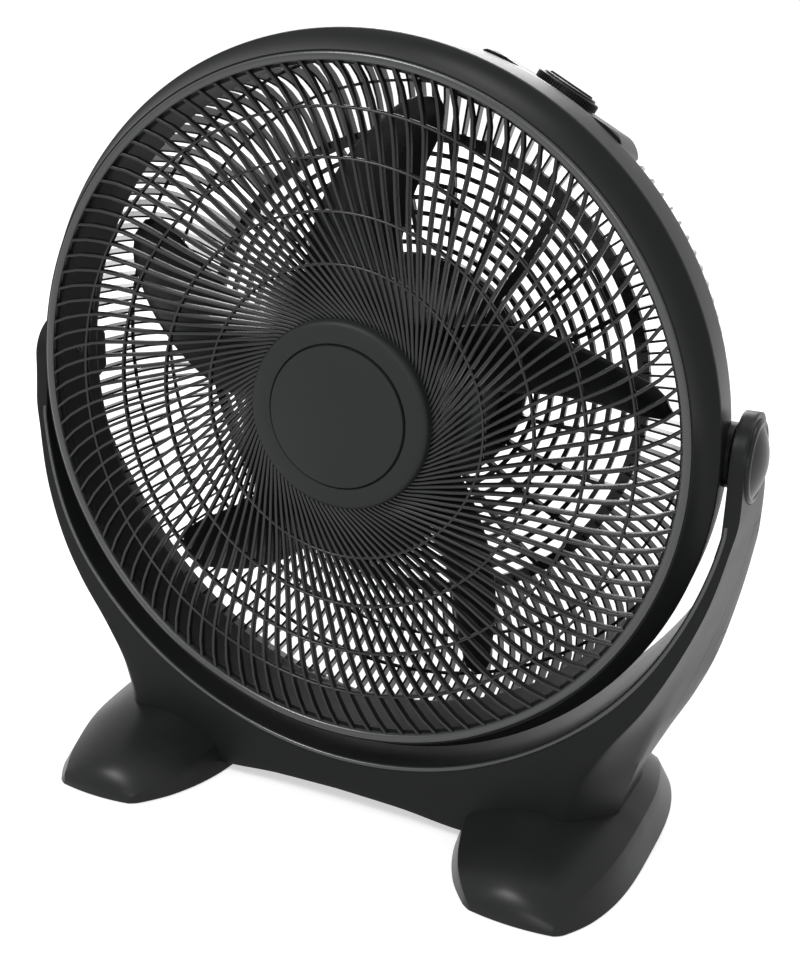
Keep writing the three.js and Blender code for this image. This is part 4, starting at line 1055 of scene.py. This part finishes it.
def makeKnob():
    k = knob
    r, face, step, top = k["radius"], k["faceRadius"], k["gripTop"], k["top"]
    bm = bmesh.new()
    lathe(bm, [(k["bore"], k["gap"]), (r - 0.9, k["gap"]), (r - 0.9, step - 0.9), (r - 0.2, step - 0.7),
               (r - 0.3, step - 0.25), (r - 0.8, step), (face + 0.4, step), (face, step + 0.3),
               (face, top - 0.6), (face - 0.3, top - 0.15), (face - 0.9, top), (0, top), (0, top - 2),
               (k["bore"], top - 2)], steps=pieceSteps)

    def grip(s, w, d):
        return Vector((r - 1.4 + d * 1.4, w * (0.6 - 0.22 * d), k["gap"] + 0.3 + s * (step - k["gap"] - 1)))

    ribs = bmesh.new()
    bar(ribs, 1, grip)
    repeatRound(ribs, k["grips"])
    absorb(bm, ribs)
    pointer = k["pointer"]
    fin = bmesh.new()
    bmesh.ops.create_cube(fin, size=1)
    for vert in fin.verts:
        upper = vert.co.z > 0
        vert.co = Vector((vert.co.x * pointer["length"] * (0.95 if upper else 1),
                          vert.co.y * pointer["width"] * (0.6 if upper else 1),
                          pointer["top"] if upper else top - 0.8))
    roundEdges(fin, 0.5, 2)
    absorb(bm, fin)
    piece = solidObject("speedKnob", bm, knobPlace)
    finish(piece, finishes["satinBlack"], "knob", ["speed_knob"], 35)


# motor housing and the cover behind it: below zero is behind the tilt axis
motor = {"radius": 66, "front": -27.5, "back": -72.9, "bore": 4.8, "slots": 18,
         "cover": 82, "coverFront": -79.3, "coverBack": -105, "cordBehind": 86.6, "cordHole": 5.3}


def makeMotor():
    m = motor
    bm = bmesh.new()
    r = m["radius"]
    top = m["front"]
    lathe(bm, [(m["bore"], top), (12, top), (14, top - 1.4), (20, top - 1.6), (r - 8, top - 1.6),
               (r - 3, top - 3), (r - 0.6, top - 7), (r, top - 10), (r, m["back"]), (r - 2.5, m["back"]),
               (r - 2.5, top - 10), (r - 6, top - 4.2), (m["bore"], top - 4)], steps=pieceSteps)

    def cooling(s, w, d):
        return polar(26 + 26 * s, w * 3.2, top - 2.4 + d * 1.9)

    ribs = bmesh.new()
    bar(ribs, 4, cooling)
    repeatRound(ribs, m["slots"])
    absorb(bm, ribs)
    piece = solidObject("motorHousing", bm, headPlace)
    finish(piece, finishes["motorSteel"], "head", ["motor_housing"], 35)


def makeRearCover():
    m = motor
    bm = bmesh.new()
    r, low = m["cover"], m["coverBack"]
    lathe(bm, [(0, low), (22, low + 0.1), (40, low + 0.5), (54, low + 1.4), (64, low + 3), (71, low + 5.6),
               (76, low + 9), (79.6, low + 13), (81.6, low + 18), (r, m["coverFront"]),
               (r - 2.5, m["coverFront"]), (r - 3, low + 18), (74, low + 11), (64, low + 6),
               (40, low + 3.2), (0, low + 2.6)], steps=144, closed=False)
    piece = solidObject("motorRearCover", bm, headPlace)
    hole = rodTool("hole", m["cordHole"], Matrix.Translation((0, m["cordBehind"], pivotHeight - r)), 16, 48)
    carve(piece, [("DIFFERENCE", hole)])
    discard(hole)
    finish(piece, finishes["satinBlack"], "head", ["motor_rear_cover"], 30)


def makeGrommet():
    bm = bmesh.new()
    lathe(bm, [(3.5, 7.6), (3.5, -3.9), (4.3, -4.8), (5.6, -4.8), (6.6, -4.2), (7, -3.3), (7, -0.3),
               (5, -0.3), (5, 7.6)], steps=64)
    place = Matrix.Translation((0, motor["cordBehind"], pivotHeight - motor["cover"]))
    piece = solidObject("cordGrommet", bm, place)
    finish(piece, finishes["mattRubber"], "head", ["cord_grommet"], 35)


makeBezel()
makeAirDuct()
makeDuctScrews()
makeGrilleRibs()
makeGrilleRings()
makeLip()
makeHub()
makeFins()
makeBasketRings()
makeSpokes()
makePivotBosses()
makeBlades()
makeMotor()
makeRearCover()
makeGrommet()
makeControlHousing()
makeKnob()
print("head ready")
makeYoke()
makeSaddleBead()
makePivotCaps()
makeFoot(1, "right")
makeFoot(-1, "left")
print("stand ready")
